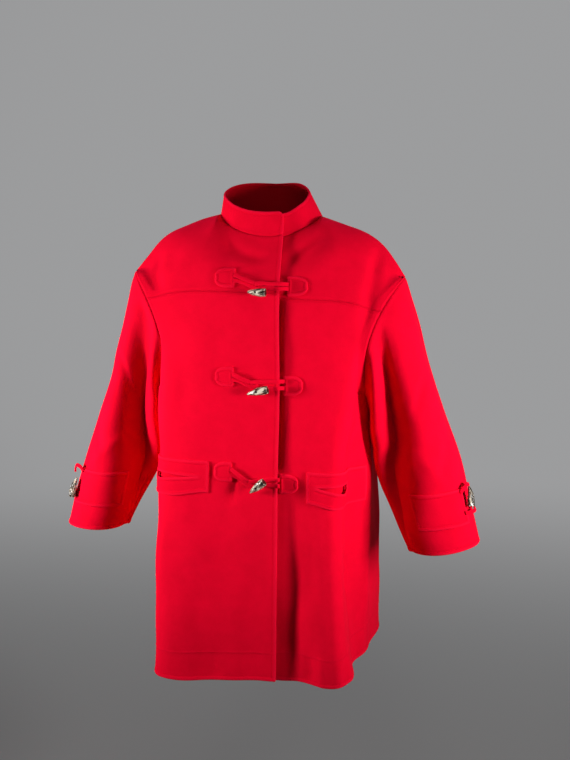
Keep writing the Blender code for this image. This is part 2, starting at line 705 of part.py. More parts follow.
def toggle(name, butt, tip, out, paint, group):
    """A horn toggle: a bowed, tapering curve from its flat butt to its pointed tip."""
    butt, tip, out = np.array(butt), np.array(tip), np.array(out)
    data = bpy.data.curves.new(name, "CURVE")
    data.dimensions = "3D"
    data.bevel_depth = TOGGLE_RADIUS
    data.bevel_resolution = 3
    data.use_fill_caps = True
    line = data.splines.new("POLY")
    line.points.add(len(HORN_SHAPE) - 1)
    for point, (share, radius, bow) in zip(line.points, HORN_SHAPE):
        place = butt + (tip - butt) * share + out * bow
        point.co = (*place, 1.0)
        point.radius = radius
    data.materials.append(paint)
    item = bpy.data.objects.new(name, data)
    group.objects.link(item)
    return item


def make_front_toggles(items, paint, group):
    place = lap_place(items)
    for number, row in enumerate(FASTENINGS, start=1):
        z, tip_x, tip_z, butt_x, butt_z, lift = row
        butt, out = on_front(place, butt_x, z + butt_z, lift)
        tip = on_front(place, tip_x, z + tip_z, lift)[0]
        toggle("toggle_%d" % number, butt, tip, out, paint, group)


def box_cutter(name, low, high, group):
    """A box used to cut cloth, leaning as the coat does."""
    bpy.ops.mesh.primitive_cube_add(size=1.0)
    item = bpy.context.object
    item.name = name
    low, high = np.array(low), np.array(high)
    for vertex in item.data.vertices:
        point = (low + high) / 2 + np.array(vertex.co) * (high - low)
        vertex.co = lean(point)
    for owner in item.users_collection:
        owner.objects.unlink(item)
    group.objects.link(item)
    item.hide_render = True
    item.display_type = "WIRE"
    return item


def cut(item, cutter):
    modifier = item.modifiers.new("Slit", "BOOLEAN")
    modifier.operation = "DIFFERENCE"
    modifier.solver = "EXACT"
    modifier.object = cutter


def make_pockets(paints, group, cutters, fronts):
    """A stitched frame on each front, a slit through both, and the cloth behind it."""
    for side in (RIGHT, LEFT):
        name = SIDE_NAMES[side]
        top = POCKET_TOP - (LEFT_DROP if side == LEFT else 0.0)
        inner = POCKET_INNER / 0.197 * CORNER_SHARE

        def place(share, z):
            return lean(body_point(side, False, share, z))

        heights = np.linspace(top, top - POCKET_DEPTH, 6)
        shares = np.concatenate([np.linspace(inner, 0.48, 4), np.linspace(0.52, 0.7, 6),
                                 np.linspace(0.75, POCKET_OUTER, 3)])
        grid, normal = on_surface(place, shares, heights, WALL + LIFT)
        frame = wall("pocket_frame_" + name, grid, normal, paints["cloth"], group)
        slit_high = top - SLIT_TOP
        slit_low = slit_high - SLIT_HEIGHT
        xs = sorted((SLIT_INNER * side, 0.26 * side))
        cutter = box_cutter("slit_cutter_" + name, (xs[0], -0.26, slit_low),
                            (xs[1], -0.075, slit_high), cutters)
        cut(frame, cutter)
        cut(fronts[name], cutter)
        heights = np.linspace(top - 0.006, top - BAG_DEPTH, 5)
        shares = np.concatenate([np.linspace(inner, 0.45, 3), np.linspace(0.5, 0.7, 5),
                                 np.linspace(0.78, 0.9, 2)])
        grid, normal = on_surface(place, shares, heights, 0.0)
        depth = np.full(grid.shape[:2], BAG_SET_BACK)
        depth[0] = depth[-1] = depth[:, 0] = depth[:, -1] = BAG_EDGE
        grid = grid - normal * depth[..., None]
        wall("pocket_bag_" + name, grid, normal, paints["inside"], group)


def make_cuffs(paints, group):
    """On each sleeve a tab with a loop at its end, and the toggle that it carries."""
    for side in (RIGHT, LEFT):
        name = SIDE_NAMES[side]

        def place(angle, share):
            return lean(sleeve_point(side, angle, share))

        def lifted(angle, share, lift):
            a, s = np.array([[float(angle)]]), np.array([[float(share)]])
            point = place(a, s)
            along = place(a + 0.5, s) - place(a - 0.5, s)
            down = place(a, s + 1e-3) - place(a, s - 1e-3)
            normal = unit(np.cross(along, down))
            centre = lean(np.stack([side * sleeve("x", s), sleeve("y", s), sleeve("z", s)], -1))
            if np.sum(normal * (point - centre)) < 0:
                normal = -normal
            return (point + normal * lift)[0, 0], normal[0, 0]

        def share_at(angle, down):
            """Share of the sleeve's length where a point of the tab lies."""
            shares = np.linspace(0.5, 1.0, 101)
            points = sleeve_point(side, np.full(101, float(angle)), shares)
            slope = TAB_SLOPE * (np.abs(points[:, 0]) - SLEEVE[-1][1])
            return np.interp(TAB_HEIGHT * down - TAB_TOP, slope - points[:, 2], shares)

        angles = np.linspace(TAB_FROM, TAB_TO, 10)
        found = [[lifted(a, share_at(a, down), WALL + LIFT) for a in angles]
                 for down in np.linspace(0.0, 1.0, 4)]
        grid = np.array([[f[0] for f in line] for line in found])
        normal = np.array([[f[1] for f in line] for line in found])
        wall("cuff_tab_" + name, grid, normal, paints["cloth"], group)
        low = WALL / 2 + LIFT + STRAP_THICK / 2
        for strand, middle in (("upper", 0.32), ("lower", 0.68)):
            route = [(TAB_TO - 1.0, middle, low), (26.0, middle, low),
                     (13.0, 0.5 + (middle - 0.5) * 0.6, low)]
            stops = run_through(route, 6)
            spots = [lifted(angle, share_at(angle, down), lift) for angle, down, lift in stops]
            strap("cuff_loop_%s_%s" % (strand, name), [f[0] for f in spots],
                  [f[1] for f in spots], paints["cloth"], group)
        lift = WALL / 2 + LIFT + STRAP_THICK + 0.0003 + TOGGLE_RADIUS
        butt, out = lifted(20.0, share_at(20.0, 0.80), lift)
        tip = lifted(18.0, share_at(18.0, 0.20), lift)[0]
        toggle("cuff_toggle_" + name, butt, tip, out, paints["horn"], group)


def main():
    clear_scene()
    group = collection("duffle_coat")
    cutters = collection("cutters")
    paints = {
        "cloth": material("melton", RED, 0.9),
        "inside": material("melton_inside", DEEP_RED, 0.9),
        "horn": material("horn", HORN, 0.4),
    }
    make_fronts()
    make_back()
    make_sleeves()
    make_collar()
    sew_panels()
    items = {
        name: wall(name, panel["grid"], panel["normals"], paints["cloth"], group)
        for name, panel in PANELS.items()
    }
    fronts = {"right": items["front_right"], "left": items["front_left"]}
    make_pockets(paints, group, cutters, fronts)
    make_patches(items, paints["cloth"], group)
    make_front_straps(items, paints["cloth"], group)
    make_front_toggles(items, paints["horn"], group)
    make_cuffs(paints, group)


main()
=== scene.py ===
import math

import bpy
import numpy as np
from mathutils import Matrix, Vector


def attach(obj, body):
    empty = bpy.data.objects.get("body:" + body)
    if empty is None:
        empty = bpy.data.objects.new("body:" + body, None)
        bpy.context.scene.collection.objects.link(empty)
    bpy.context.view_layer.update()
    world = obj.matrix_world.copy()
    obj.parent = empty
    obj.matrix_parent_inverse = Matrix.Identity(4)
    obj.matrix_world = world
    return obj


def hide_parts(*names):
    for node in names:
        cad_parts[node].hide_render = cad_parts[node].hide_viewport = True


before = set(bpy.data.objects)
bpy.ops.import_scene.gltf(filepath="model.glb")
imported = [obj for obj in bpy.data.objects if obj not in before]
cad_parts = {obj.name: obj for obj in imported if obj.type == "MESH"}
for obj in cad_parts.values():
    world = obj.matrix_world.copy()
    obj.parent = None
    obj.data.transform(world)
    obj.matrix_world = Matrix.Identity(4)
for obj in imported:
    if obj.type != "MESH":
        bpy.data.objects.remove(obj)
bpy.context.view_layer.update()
print("frame loaded")

# ------------------------------------------------------------ camera and floor
# The camera stands a little to the wearer's left of the middle and above the collar.
cameraSet = {"place": (0.271, -1.725, -0.158), "turn": 8.0, "down": 6.0, "lens": 38.84}
turn, down = math.radians(cameraSet["turn"]), math.radians(cameraSet["down"])
forward = Vector((-math.sin(turn) * math.cos(down), math.cos(turn) * math.cos(down), -math.sin(down)))
sideways = Vector((math.cos(turn), math.sin(turn), 0.0))
upwards = sideways.cross(forward)
cameraData = bpy.data.cameras.new("camera")
cameraData.sensor_width = 36.0
cameraData.lens = cameraSet["lens"]
cameraData.clip_start = 0.01
camera = bpy.data.objects.new("camera", cameraData)
bpy.context.scene.collection.objects.link(camera)
camera.matrix_world = Matrix.Translation(Vector(cameraSet["place"])) @ Matrix(
    (sideways, upwards, -forward)).transposed().to_4x4()
bpy.context.scene.camera = camera
bpy.context.scene.view_settings.view_transform = "Standard"

# ------------------------------------------------------------ shape of the coat
right, left = -1, 1
sideName = {right: "right", left: "left"}
hang = {"lean": 0.03, "leftDrop": 0.011, "foldFade": 0.08}
neck = {"width": 0.105, "front": 0.088, "back": 0.078, "dip": 0.043, "rise": 0.018, "share": 0.33,
        "slope": 1.7}
lap = {
    right: 0.037, left: 0.045, "setBack": 0.0085, "hemBack": 0.0075, "hemFrom": -0.50, "hemOver": 0.35,
    "fade": 0.11, "from": 0.004, "tight": 0.35, "neckDrop": 0.6, "gapAt": 0.0008, "gapWidth": 0.0042,
    "gapEnds": 0.03,
}
# Where the lap stands open: upper height, lower height, depth.
lapGaps = (
    (-0.10, -0.150, 0.003), (-0.150, -0.330, 0.010), (-0.340, -0.515, 0.012), (-0.530, -0.95, 0.001),
)
chest = {
    "shoulderRound": 0.105, "arcPower": 2.4, "arcEnd": -0.195, "arcFade": 0.13, "corner": 0.57,
    "width": 0.20, "depth": 0.17,
}
yoke = {"z": -0.155, "fall": 0.018}
# How much narrower each front is than the side behind it, by height: right, then left.
taperRows = np.array([
    (-1.00, 0.000, 0.08), (-0.92, 0.000, 0.10), (-0.84, 0.000, 0.155), (-0.76, 0.000, 0.20),
    (-0.66, 0.000, 0.225), (-0.56, 0.000, 0.220), (-0.48, -0.010, 0.200), (-0.42, -0.040, 0.15),
    (-0.385, -0.055, 0.12), (-0.327, -0.055, 0.07), (-0.25, -0.025, 0.03), (-0.18, 0.000, 0.0),
    (0.05, 0.000, 0.0),
])
taper = {"from": 0.20, "over": 0.45}
hem = {"z": -0.923, "level": 1.8, "underlap": 0.005, "turnUp": 0.055}
collar = {
    "front": 0.048, "back": 0.062, "tilt": 0.017, "tiltLeft": 0.010, "corner": 0.013, "leftLow": 0.010,
    "lowOver": 0.085,
}

# Body by height: z, reach of front and back, how square each is, the side seam's x and y.
bodyRows = np.array([
    (-1.00, 0.198, 0.192, 9.0, 4.0, 0.216, -0.020),
    (-0.92, 0.193, 0.188, 9.0, 4.0, 0.215, -0.020),
    (-0.70, 0.177, 0.170, 8.0, 3.6, 0.215, -0.020),
    (-0.50, 0.163, 0.154, 7.0, 3.2, 0.212, -0.026),
    (-0.40, 0.156, 0.148, 6.0, 2.9, 0.208, -0.034),
    (-0.33, 0.152, 0.145, 5.0, 2.8, 0.204, -0.044),
    (-0.25, 0.149, 0.142, 3.2, 2.7, 0.204, -0.044),
    (-0.15, 0.140, 0.134, 2.8, 2.6, 0.204, -0.044),
    (-0.08, 0.124, 0.116, 2.5, 2.4, 0.204, -0.044),
    (0.02, 0.100, 0.090, 2.3, 2.2, 0.204, -0.044),
])
# Shoulder line: share of its length, x, y, z.
shoulderRows = np.array([
    (0.00, 0.105, 0.000, 0.004),
    (0.25, 0.158, -0.006, -0.013),
    (0.50, 0.207, -0.016, -0.034),
    (0.70, 0.238, -0.026, -0.060),
    (0.85, 0.258, -0.036, -0.088),
    (1.00, 0.278, -0.044, -0.117),
])
# Sleeve rings: share, centre x, y, z, way to the outer point x, z, reach front, back, inset.
sleeveRows = np.array([
    (0.00, 0.2410, -0.044, -0.235, 0.037, 0.118, 0.074, 0.088, 0.028),
    (0.06, 0.2500, -0.042, -0.253, 0.038, 0.109, 0.077, 0.092, 0.019),
    (0.14, 0.2590, -0.038, -0.282, 0.041, 0.099, 0.079, 0.095, 0.010),
    (0.30, 0.2715, -0.030, -0.347, 0.052, 0.076, 0.082, 0.096, 0.003),
    (0.50, 0.2880, -0.024, -0.425, 0.067, 0.050, 0.081, 0.092, 0.000),
    (0.70, 0.3160, -0.030, -0.514, 0.077, 0.027, 0.076, 0.084, 0.000),
    (0.85, 0.3410, -0.040, -0.588, 0.075, 0.013, 0.069, 0.075, 0.000),
    (1.00, 0.3660, -0.052, -0.663, 0.068, 0.008, 0.062, 0.066, 0.000),
])
sleeveSet = {
    right: {"full": 0.95, "swing": 0.006, "rise": -0.006},
    left: {"full": 1.03, "swing": 0.0, "rise": 0.008},
}
# Body folds: side, place around (0 middle front, 1 side, 2 middle back), start, full, reach, width.
bodyFolds = (
    (-1, 0.00, -0.62, -0.92, -0.006, 0.16),
    (-1, 0.40, -0.50, -0.92, 0.012, 0.12),
    (-1, 0.64, -0.40, -0.75, 0.007, 0.13),
    (-1, 1.00, -0.40, -0.80, -0.010, 0.16),
    (-1, 1.37, -0.25, -0.65, 0.030, 0.19),
    (-1, 1.78, -0.45, -0.92, -0.010, 0.12),
    (1, 0.00, -0.62, -0.92, -0.006, 0.16),
    (1, 0.24, -0.45, -0.85, -0.007, 0.07),
    (1, 0.43, -0.45, -0.90, 0.014, 0.11),
    (1, 0.84, -0.50, -0.92, -0.017, 0.17),
    (1, 1.38, -0.22, -0.65, 0.038, 0.20),
    (1, 1.74, -0.45, -0.92, -0.012, 0.13),
)
# Soft creases of front and back, seen straight on: x and z of both ends, bow to its left,
# width at both ends, depth (below zero a trough).
frontCreases = (
    (-0.080, -0.050, 0.006, -0.088, 0.010, 0.014, 0.010, -0.0050),
    (-0.060, -0.086, -0.020, -0.102, 0.006, 0.016, 0.014, 0.0022),
    (0.118, -0.034, 0.046, -0.094, -0.006, 0.017, 0.012, -0.0065),
    (0.150, -0.060, 0.075, -0.135, -0.008, 0.022, 0.020, 0.0030),
    (-0.222, -0.080, -0.216, -0.150, 0.004, 0.012, 0.016, -0.0040),
    (0.226, -0.070, 0.206, -0.270, 0.004, 0.012, 0.018, -0.0060),
    (-0.190, -0.240, -0.150, -0.380, -0.010, 0.022, 0.026, -0.0030),
    (0.178, -0.220, 0.150, -0.400, 0.010, 0.020, 0.028, -0.0030),
    (-0.047, -0.515, -0.056, -0.572, 0.000, 0.005, 0.006, -0.0040),
    (-0.040, -0.548, -0.014, -0.640, 0.008, 0.020, 0.030, 0.0030),
    (0.062, -0.580, 0.070, -0.930, 0.000, 0.024, 0.032, -0.0012),
    (0.105, -0.560, 0.108, -0.760, 0.000, 0.014, 0.020, -0.0030),
    (0.135, -0.600, 0.155, -0.900, 0.000, 0.024, 0.026, 0.0050),
    (0.200, -0.560, 0.196, -0.860, 0.000, 0.012, 0.018, -0.0040),
    (-0.165, -0.580, -0.110, -0.680, -0.010, 0.020, 0.030, 0.0025),
    (-0.190, -0.620, -0.150, -0.760, -0.012, 0.018, 0.026, -0.0022),
    (-0.120, -0.740, -0.112, -0.930, 0.000, 0.020, 0.022, -0.0028),
    (-0.030, -0.700, -0.042, -0.930, 0.004, 0.024, 0.026, 0.0024),
    (0.103, -0.868, 0.106, -0.915, 0.000, 0.005, 0.007, -0.0030),
    (0.128, -0.865, 0.132, -0.925, 0.000, 0.006, 0.009, 0.0022),
    (0.170, -0.862, 0.176, -0.920, 0.000, 0.006, 0.008, -0.0028),
    (-0.088, -0.868, -0.082, -0.915, 0.000, 0.006, 0.008, -0.0018),
)
backCreases = (
    (-0.150, -0.060, -0.060, -0.120, 0.010, 0.018, 0.016, -0.0045),
    (0.160, -0.055, 0.070, -0.130, -0.010, 0.020, 0.016, -0.0050),
    (0.020, -0.060, -0.040, -0.110, 0.006, 0.014, 0.018, 0.0025),
    (-0.205, -0.120, -0.170, -0.300, 0.006, 0.014, 0.020, -0.0055),
    (0.208, -0.110, 0.160, -0.310, -0.008, 0.014, 0.022, -0.0050),
    (-0.120, -0.260, -0.100, -0.560, 0.012, 0.022, 0.030, -0.0035),
    (0.100, -0.300, 0.120, -0.620, -0.010, 0.020, 0.030, -0.0040),
    (0.010, -0.360, -0.010, -0.700, 0.004, 0.026, 0.030, 0.0030),
    (-0.060, -0.560, -0.085, -0.900, 0.006, 0.016, 0.022, -0.0055),
    (0.050, -0.600, 0.060, -0.930, 0.000, 0.015, 0.024, -0.0050),
    (0.150, -0.520, 0.165, -0.920, 0.000, 0.022, 0.026, 0.0045),
    (-0.160, -0.500, -0.170, -0.930, 0.000, 0.022, 0.030, 0.0040),
)
sideCreases = (
    (0.060, -0.420, 0.050, -0.700, 0.006, 0.020, 0.026, -0.0040),
    (-0.070, -0.440, -0.050, -0.800, 0.000, 0.022, 0.028, 0.0030),
    (0.000, -0.600, 0.012, -0.930, 0.004, 0.018, 0.026, -0.0035),
)
# Long valleys (depth below zero) and ridges of the sleeves, one table each: share, angle of
# the middle, width in degrees towards the outside and towards the body, depth.
sleeveLines = {
    right: (
        ((0.00, 72, 18, 11, -0.004), (0.09, 87, 28, 14, -0.028), (0.19, 99, 38, 16, -0.048),
         (0.34, 106, 44, 17, -0.057), (0.48, 116, 48, 17, -0.054), (0.62, 138, 56, 17, -0.046),
         (0.75, 160, 58, 16, -0.034), (0.92, 168, 50, 14, -0.008)),
        ((0.00, 92, 9, 9, 0.000), (0.05, 98, 9, 10, 0.003), (0.11, 113, 10, 11, 0.004),
         (0.21, 130, 10, 11, 0.005), (0.39, 136, 10, 11, 0.005), (0.58, 154, 9, 10, 0.003),
         (0.75, 176, 8, 9, 0.000)),
        ((0.00, 20, 16, 16, 0.001), (0.25, 22, 16, 16, 0.002), (0.60, 24, 16, 16, 0.002),
         (0.85, 28, 16, 16, 0.000)),
        ((0.00, -50, 24, 24, 0.000), (0.15, -54, 24, 24, -0.007), (0.60, -62, 24, 24, -0.007),
         (0.90, -64, 24, 24, 0.000)),
        ((0.00, -86, 20, 20, 0.000), (0.20, -88, 20, 20, 0.006), (0.70, -94, 20, 20, 0.006),
         (0.95, -94, 20, 20, 0.000)),
        ((0.00, -116, 20, 12, 0.000), (0.14, -120, 24, 12, -0.020), (0.50, -128, 26, 12, -0.026),
         (0.90, -142, 28, 14, -0.004)),
    ),
    left: (
        ((0.00, 86, 14, 9, -0.004), (0.09, 99, 24, 10, -0.026), (0.19, 113, 30, 11, -0.042),
         (0.34, 117, 33, 14, -0.048), (0.50, 121, 36, 14, -0.047), (0.64, 139, 42, 14, -0.040),
         (0.77, 150, 46, 13, -0.030), (0.94, 158, 40, 14, -0.008)),
        ((0.00, 104, 9, 9, 0.000), (0.04, 108, 9, 10, 0.004), (0.10, 124, 10, 11, 0.006),
         (0.21, 142, 11, 12, 0.005), (0.45, 146, 11, 12, 0.005), (0.62, 158, 10, 11, 0.003),
         (0.78, 172, 8, 9, 0.000)),
        ((0.00, 30, 18, 18, 0.002), (0.25, 36, 18, 18, 0.005), (0.60, 40, 18, 18, 0.005),
         (0.85, 48, 18, 18, 0.000)),
        ((0.00, -54, 24, 24, 0.000), (0.18, -56, 24, 24, -0.006), (0.58, -60, 24, 24, -0.008),
         (0.90, -62, 24, 24, 0.000)),
        ((0.00, -90, 20, 20, 0.000), (0.20, -92, 20, 20, 0.006), (0.70, -94, 20, 20, 0.007),
         (0.95, -96, 20, 20, 0.000)),
        ((0.00, -120, 20, 12, 0.000), (0.16, -122, 24, 12, -0.022), (0.50, -126, 26, 12, -0.024),
         (0.90, -140, 28, 14, -0.004)),
    ),
}
# Every fold of a sleeve moves the cloth mostly to the front or the rear. The powers shape the
# long lines' slopes, and the last entry is a valley's depth at which its painted shade is darkest.
sleeveFold = {
    "degree": 0.0013, "length": 0.55, "way": (0.45, 1.0, 0.45), "outerPower": 2.6, "innerPower": 2.0,
    "start": 0.05, "valleyShade": 0.055,
}
# Short soft creases of the sleeves: angle and share of both ends, bow, widths, depth. A degree
# counts as 1.3 mm there and the whole length as 0.55 m.
sleeveCreases = {
    right: (
        (24, 0.02, 20, 0.45, -6, 0.014, 0.020, -0.0025),
        (40, 0.30, 74, 0.44, 4, 0.012, 0.014, -0.0034),
        (30, 0.56, 66, 0.70, -4, 0.012, 0.014, -0.0036),
        (92, 0.60, 58, 0.74, -4, 0.010, 0.012, 0.0030),
        (-20, 0.34, -60, 0.50, 4, 0.012, 0.014, -0.0030),
    ),
    left: (
        (20, 0.03, 16, 0.50, -6, 0.014, 0.020, -0.0025),
        (36, 0.34, 72, 0.46, 4, 0.012, 0.014, -0.0030),
        (34, 0.60, 66, 0.72, -4, 0.012, 0.014, -0.0034),
        (96, 0.58, 64, 0.74, -4, 0.010, 0.012, 0.0030),
        (-24, 0.40, -62, 0.54, 4, 0.012, 0.014, -0.0030),
    ),
}
armhole = {"recess": 0.007, "place": -0.60, "width": 0.42, "fade": 0.22, right: -0.003, left: 0.008}


def spline(xs, ys, x):
    # A smooth curve through a table's rows, with slopes taken from their neighbours.
    slopes = np.gradient(ys, xs)
    i = np.clip(np.searchsorted(xs, x) - 1, 0, len(xs) - 2)
    step = xs[i + 1] - xs[i]
    t = np.clip((x - xs[i]) / step, 0.0, 1.0)
    low = (2 * t**3 - 3 * t**2 + 1) * ys[i] + (t**3 - 2 * t**2 + t) * step * slopes[i]
    high = (3 * t**2 - 2 * t**3) * ys[i + 1] + (t**3 - t**2) * step * slopes[i + 1]
    return low + high


def smooth(t):
    # A step from 0 to 1 that starts and ends level: t squared times 3 minus 2 t.
    t = np.clip(t, 0.0, 1.0)
    return t * t * (3 - 2 * t)


def bell(away, width):
    # e to the power of minus (away over width) squared.
    return np.exp(-(away / width)**2)


def unit(vectors):
    # Each vector over its own length.
    return vectors / np.maximum(np.linalg.norm(vectors, axis=-1, keepdims=True), 1e-12)


def lengthAlong(points):
    # How far each point of a line is from its first, along the line.
    return np.concatenate([[0.0], np.cumsum(np.linalg.norm(np.diff(points, axis=0), axis=-1))])


def body(index, z):
    # One column of the body's rows at a height.
    return spline(bodyRows[:, 0], bodyRows[:, index], z)


def sleeve(index, share):
    # One column of the sleeve's rings at a share of its length.
    return spline(sleeveRows[:, 0], sleeveRows[:, index], share)


def lean(points):
    # The whole coat hangs lower on the left: z falls with x.
    moved = np.array(points, dtype=float)
    moved[..., 2] -= hang["lean"] * moved[..., 0]
    return moved


def armholeRecess(cosine, sine):
    # The lower front of the armhole is tucked in.
    return armhole["recess"] * sine * bell(cosine - armhole["place"], armhole["width"])


def sideEdge(back, z):
    # Where a front or the back ends: an arc round the armhole, then the side seam.
    x, y, centre, outX, outZ, front, rear, inset = sleeveRows[0, 1:]
    cosine = np.clip((z - centre) / outZ, -1.0, 1.0)
    sine = np.sqrt(1 - cosine**2)
    armholeX = x + outX * cosine - inset * sine**2
    armholeY = y + sine * (rear if back else -front)
    if not back:
        armholeY = armholeY + armholeRecess(cosine, sine)
    below = z < centre - outZ - 1e-6
    return np.where(below, body(5, z), armholeX), np.where(below, body(6, z), armholeY)


# Away from its edge a panel follows the armhole's curve averaged over a band of height, in
# steps of 2 mm with 45 of them to each side.
easeHeights = np.linspace(-1.05, 0.12, 586)
easeBell = bell(np.linspace(-0.09, 0.09, 91), 0.036)
easeRows = []
for back in (False, True):
    depths = np.pad(sideEdge(back, easeHeights)[1], 45, mode="edge")
    easeRows.append(np.convolve(depths, easeBell / easeBell.sum(), mode="valid"))


def neckline(angle):
    # An egg-shaped ring round the neck, low in front and high behind.
    cosine = np.cos(angle)
    reach = np.where(cosine > 0, neck["front"], neck["back"])
    mean, half = (neck["rise"] - neck["dip"]) / 2, (neck["rise"] + neck["dip"]) / 2
    return neck["width"] * np.sin(angle), -reach * cosine, mean * cosine**2 - half * cosine


def topEdge(side, back, share):
    # A panel's top edge: round the neckline by angle, then along the shoulder line.
    lapAngle = math.asin(lap[side] / neck["width"])
    angle = np.where(share < 0, share * lapAngle, share / neck["share"] * math.pi / 2)
    angle = np.clip(angle, -lapAngle, math.pi / 2)
    x, y, z = neckline(math.pi - angle if back else angle)
    along = np.clip((share - neck["share"]) / (1 - neck["share"]), 0.0, 1.0)
    z = z + shoulderRows[0, 3] * smooth(share / neck["share"])
    outside = share >= neck["share"]
    return [np.where(outside, spline(shoulderRows[:, 0], shoulderRows[:, k + 1], along), v)
            for k, v in enumerate((x, y, z))]


underarm = sleeveRows[0, 3] - sleeveRows[0, 5]


def heldAt(share, z, start=0.82):
    # How firmly the armhole's seam holds the cloth: a step up to 1 towards the side, times a
    # step down to 0 below the underarm.
    return smooth((share - start) / (1 - start)) * smooth((z - underarm) / hang["foldFade"] + 1)


def bodyPoint(side, back, share, z):
    # A ring at height z: half way round from the middle (share 0) to the side (share 1), an
    # arc beside the armhole and a squared-off ring below, rounded in to the top edge.
    facing = 1 if back else -1
    half, edgeY = sideEdge(back, z)
    eased = np.interp(z, easeHeights, easeRows[int(back)])
    edgeY = (eased + (edgeY - eased) * smooth((share - 0.70) / 0.30)) * facing
    square, reach = body(4 if back else 3, z), body(2 if back else 1, z)
    across = np.where(share < 0, share * lap[side] / half, np.minimum(share / chest["corner"], 1.0))
    along = np.clip((1 - share) / (1 - chest["corner"]), 0.0, 1.0)
    scale = (np.abs(across)**square + along**square)**(-1 / square)
    part = np.where(share < 0, share * lap[side] / half, 1.5 * share - 0.5 * share**2)
    arc = 1 - np.abs(part)**chest["arcPower"]
    squared = smooth((chest["arcEnd"] - z) / chest["arcFade"])
    x = half * (part + (across * scale - part) * squared)
    y = edgeY + (reach - edgeY) * (arc + (along * scale - arc) * squared)
    topX, topY, topZ = topEdge(side, back, share)
    atEdge = smooth((share - 0.8) / 0.2)
    drop = np.clip((topZ - z) / (chest["shoulderRound"] * (1.001 - atEdge)), 0.0, 1.0)
    rounding = np.sqrt(1 - (1 - drop)**2)
    atNeck = 1 - smooth(share / neck["share"])
    rounding = rounding + (1 - (1 - drop)**neck["slope"] - rounding) * atNeck
    topY = topY * facing
    x = topX + (x - topX) * smooth(drop)
    y = topY + (y - topY) * rounding
    if not back:
        narrow = spline(taperRows[:, 0], taperRows[:, 2 if side == left else 1], z)
        narrow = narrow * (1 - heldAt(share, z, 0.86))
        x = x * (1 - narrow * smooth((y / reach - taper["from"]) / taper["over"]))
    # Long folds push out along the ring, but not at the armhole's seam.
    ring = 2 - share if back else np.maximum(share, 0.0)
    outX, outY = x / chest["width"]**2, y / chest["depth"]**2
    length = np.hypot(outX, outY)
    held = heldAt(share, z, 0.7)
    for foldSide, place, start, full, amount, width in bodyFolds:
        if foldSide == side:
            push = amount * smooth((start - z) / (start - full)) * (1 - held)
            push = push * bell(ring - place, width)
            x, y = x + push * outX / length, y + push * outY / length
    if side == left and not back:
        fade = lap["fade"] * (lap["tight"] + (1 - lap["tight"]) * smooth(drop))
        under = 1 - smooth((x - lap[right] - lap["from"]) / fade)
        y = y - (lap["setBack"] + lap["hemBack"] * smooth((lap["hemFrom"] - z) / lap["hemOver"])) * under
        z = z - lap["setBack"] * lap["neckDrop"] * under * (1 - smooth(drop))
        # The cloth under the edge of the right front sinks away from it between the fastenings.
        sunk = bell(x - lap[right] - lap["gapAt"], lap["gapWidth"])
        for high, low, depth in lapGaps:
            opened = smooth((high - z) / lap["gapEnds"]) * smooth((z - low) / lap["gapEnds"])
            y = y - depth * sunk * opened
    return np.stack([x * side, y * facing, z + 0 * x], axis=-1)


def sleevePoint(side, angle, share):
    # Rings along the arm: angle 0 is the outer line, 90 the front, 180 the underarm.
    angleTurn = np.radians(angle)
    cosine, sine = np.cos(angleTurn), np.sin(angleTurn)
    depth = np.where(sine > 0, sleeve(6, share), sleeve(7, share))
    own = sleeveSet[side]
    fuller = 1 + (own["full"] - 1) * smooth(share / 0.4)
    low = smooth((share - 0.5) / 0.5)
    x = sleeve(1, share) + sleeve(4, share) * cosine * fuller
    x = x - sleeve(8, share) * sine**2 + own["swing"] * low
    y = sleeve(2, share) - depth * sine
    y = y + np.where(sine > 0, armholeRecess(cosine, sine), 0.0) * (1 - smooth(share / armhole["fade"]))
    # Just below the armhole the sleeve leans against the body.
    near = smooth(share / 0.07) * (1 - smooth((share - 0.34) / 0.16)) * np.clip(-cosine, 0.0, 1.0)**2
    x = x - armhole[side] * near
    z = sleeve(3, share) + (sleeve(5, share) + own["rise"] * low) * cosine
    return np.stack([x * side, y, z], axis=-1)


def yokeHeight(side, share):
    # The yoke's seam falls towards the sleeve, and the left one lies lower.
    low = hang["leftDrop"] if side == left else 0.0
    return yoke["z"] - low - yoke["fall"] * smooth((share - 0.4) / 0.6)


def hemHeight(side, share):
    # The hem makes up for the lean and a little more, out to the ring's corner.
    out = side * chest["width"] * np.clip(share / chest["corner"], 0.0, 1.0)
    return hem["z"] + hang["lean"] * hem["level"] * out


def creaseField(u, v, rows, scaleU=1.0, scaleV=1.0):
    # Each crease is a bowed line; its push is a bell across the line that dies at both ends.
    total = np.zeros(np.broadcast(u, v).shape)
    u, v = u * scaleU, v * scaleV
    for startU, startV, endU, endV, bow, startWidth, endWidth, depth in rows:
        fromU, fromV = startU * scaleU, startV * scaleV
        wayU, wayV = endU * scaleU - fromU, endV * scaleV - fromV
        length = math.hypot(wayU, wayV)
        t = ((u - fromU) * wayU + (v - fromV) * wayV) / length**2
        away = ((u - fromU) * wayV - (v - fromV) * wayU) / length
        away = away - bow * scaleU * 4 * t * (1 - t)
        width = startWidth + (endWidth - startWidth) * np.clip(t, 0, 1)
        ends = smooth((t + 0.12) / 0.3) * smooth((1.12 - t) / 0.3)
        total = total + depth * ends * bell(away, width)
    return total


wave = {"seed": 7, "count": 10, "way": (1.0, 1.0, 0.6), "length": (0.05, 0.16), "reach": 0.00042,
        "plain": 0.1}
rng = np.random.default_rng(wave["seed"])
waveWay = unit(rng.normal(size=(wave["count"], 3)) * np.array(wave["way"]))
waveLength = rng.uniform(*wave["length"], wave["count"])
wavePhase = rng.uniform(0, 2 * math.pi, wave["count"])


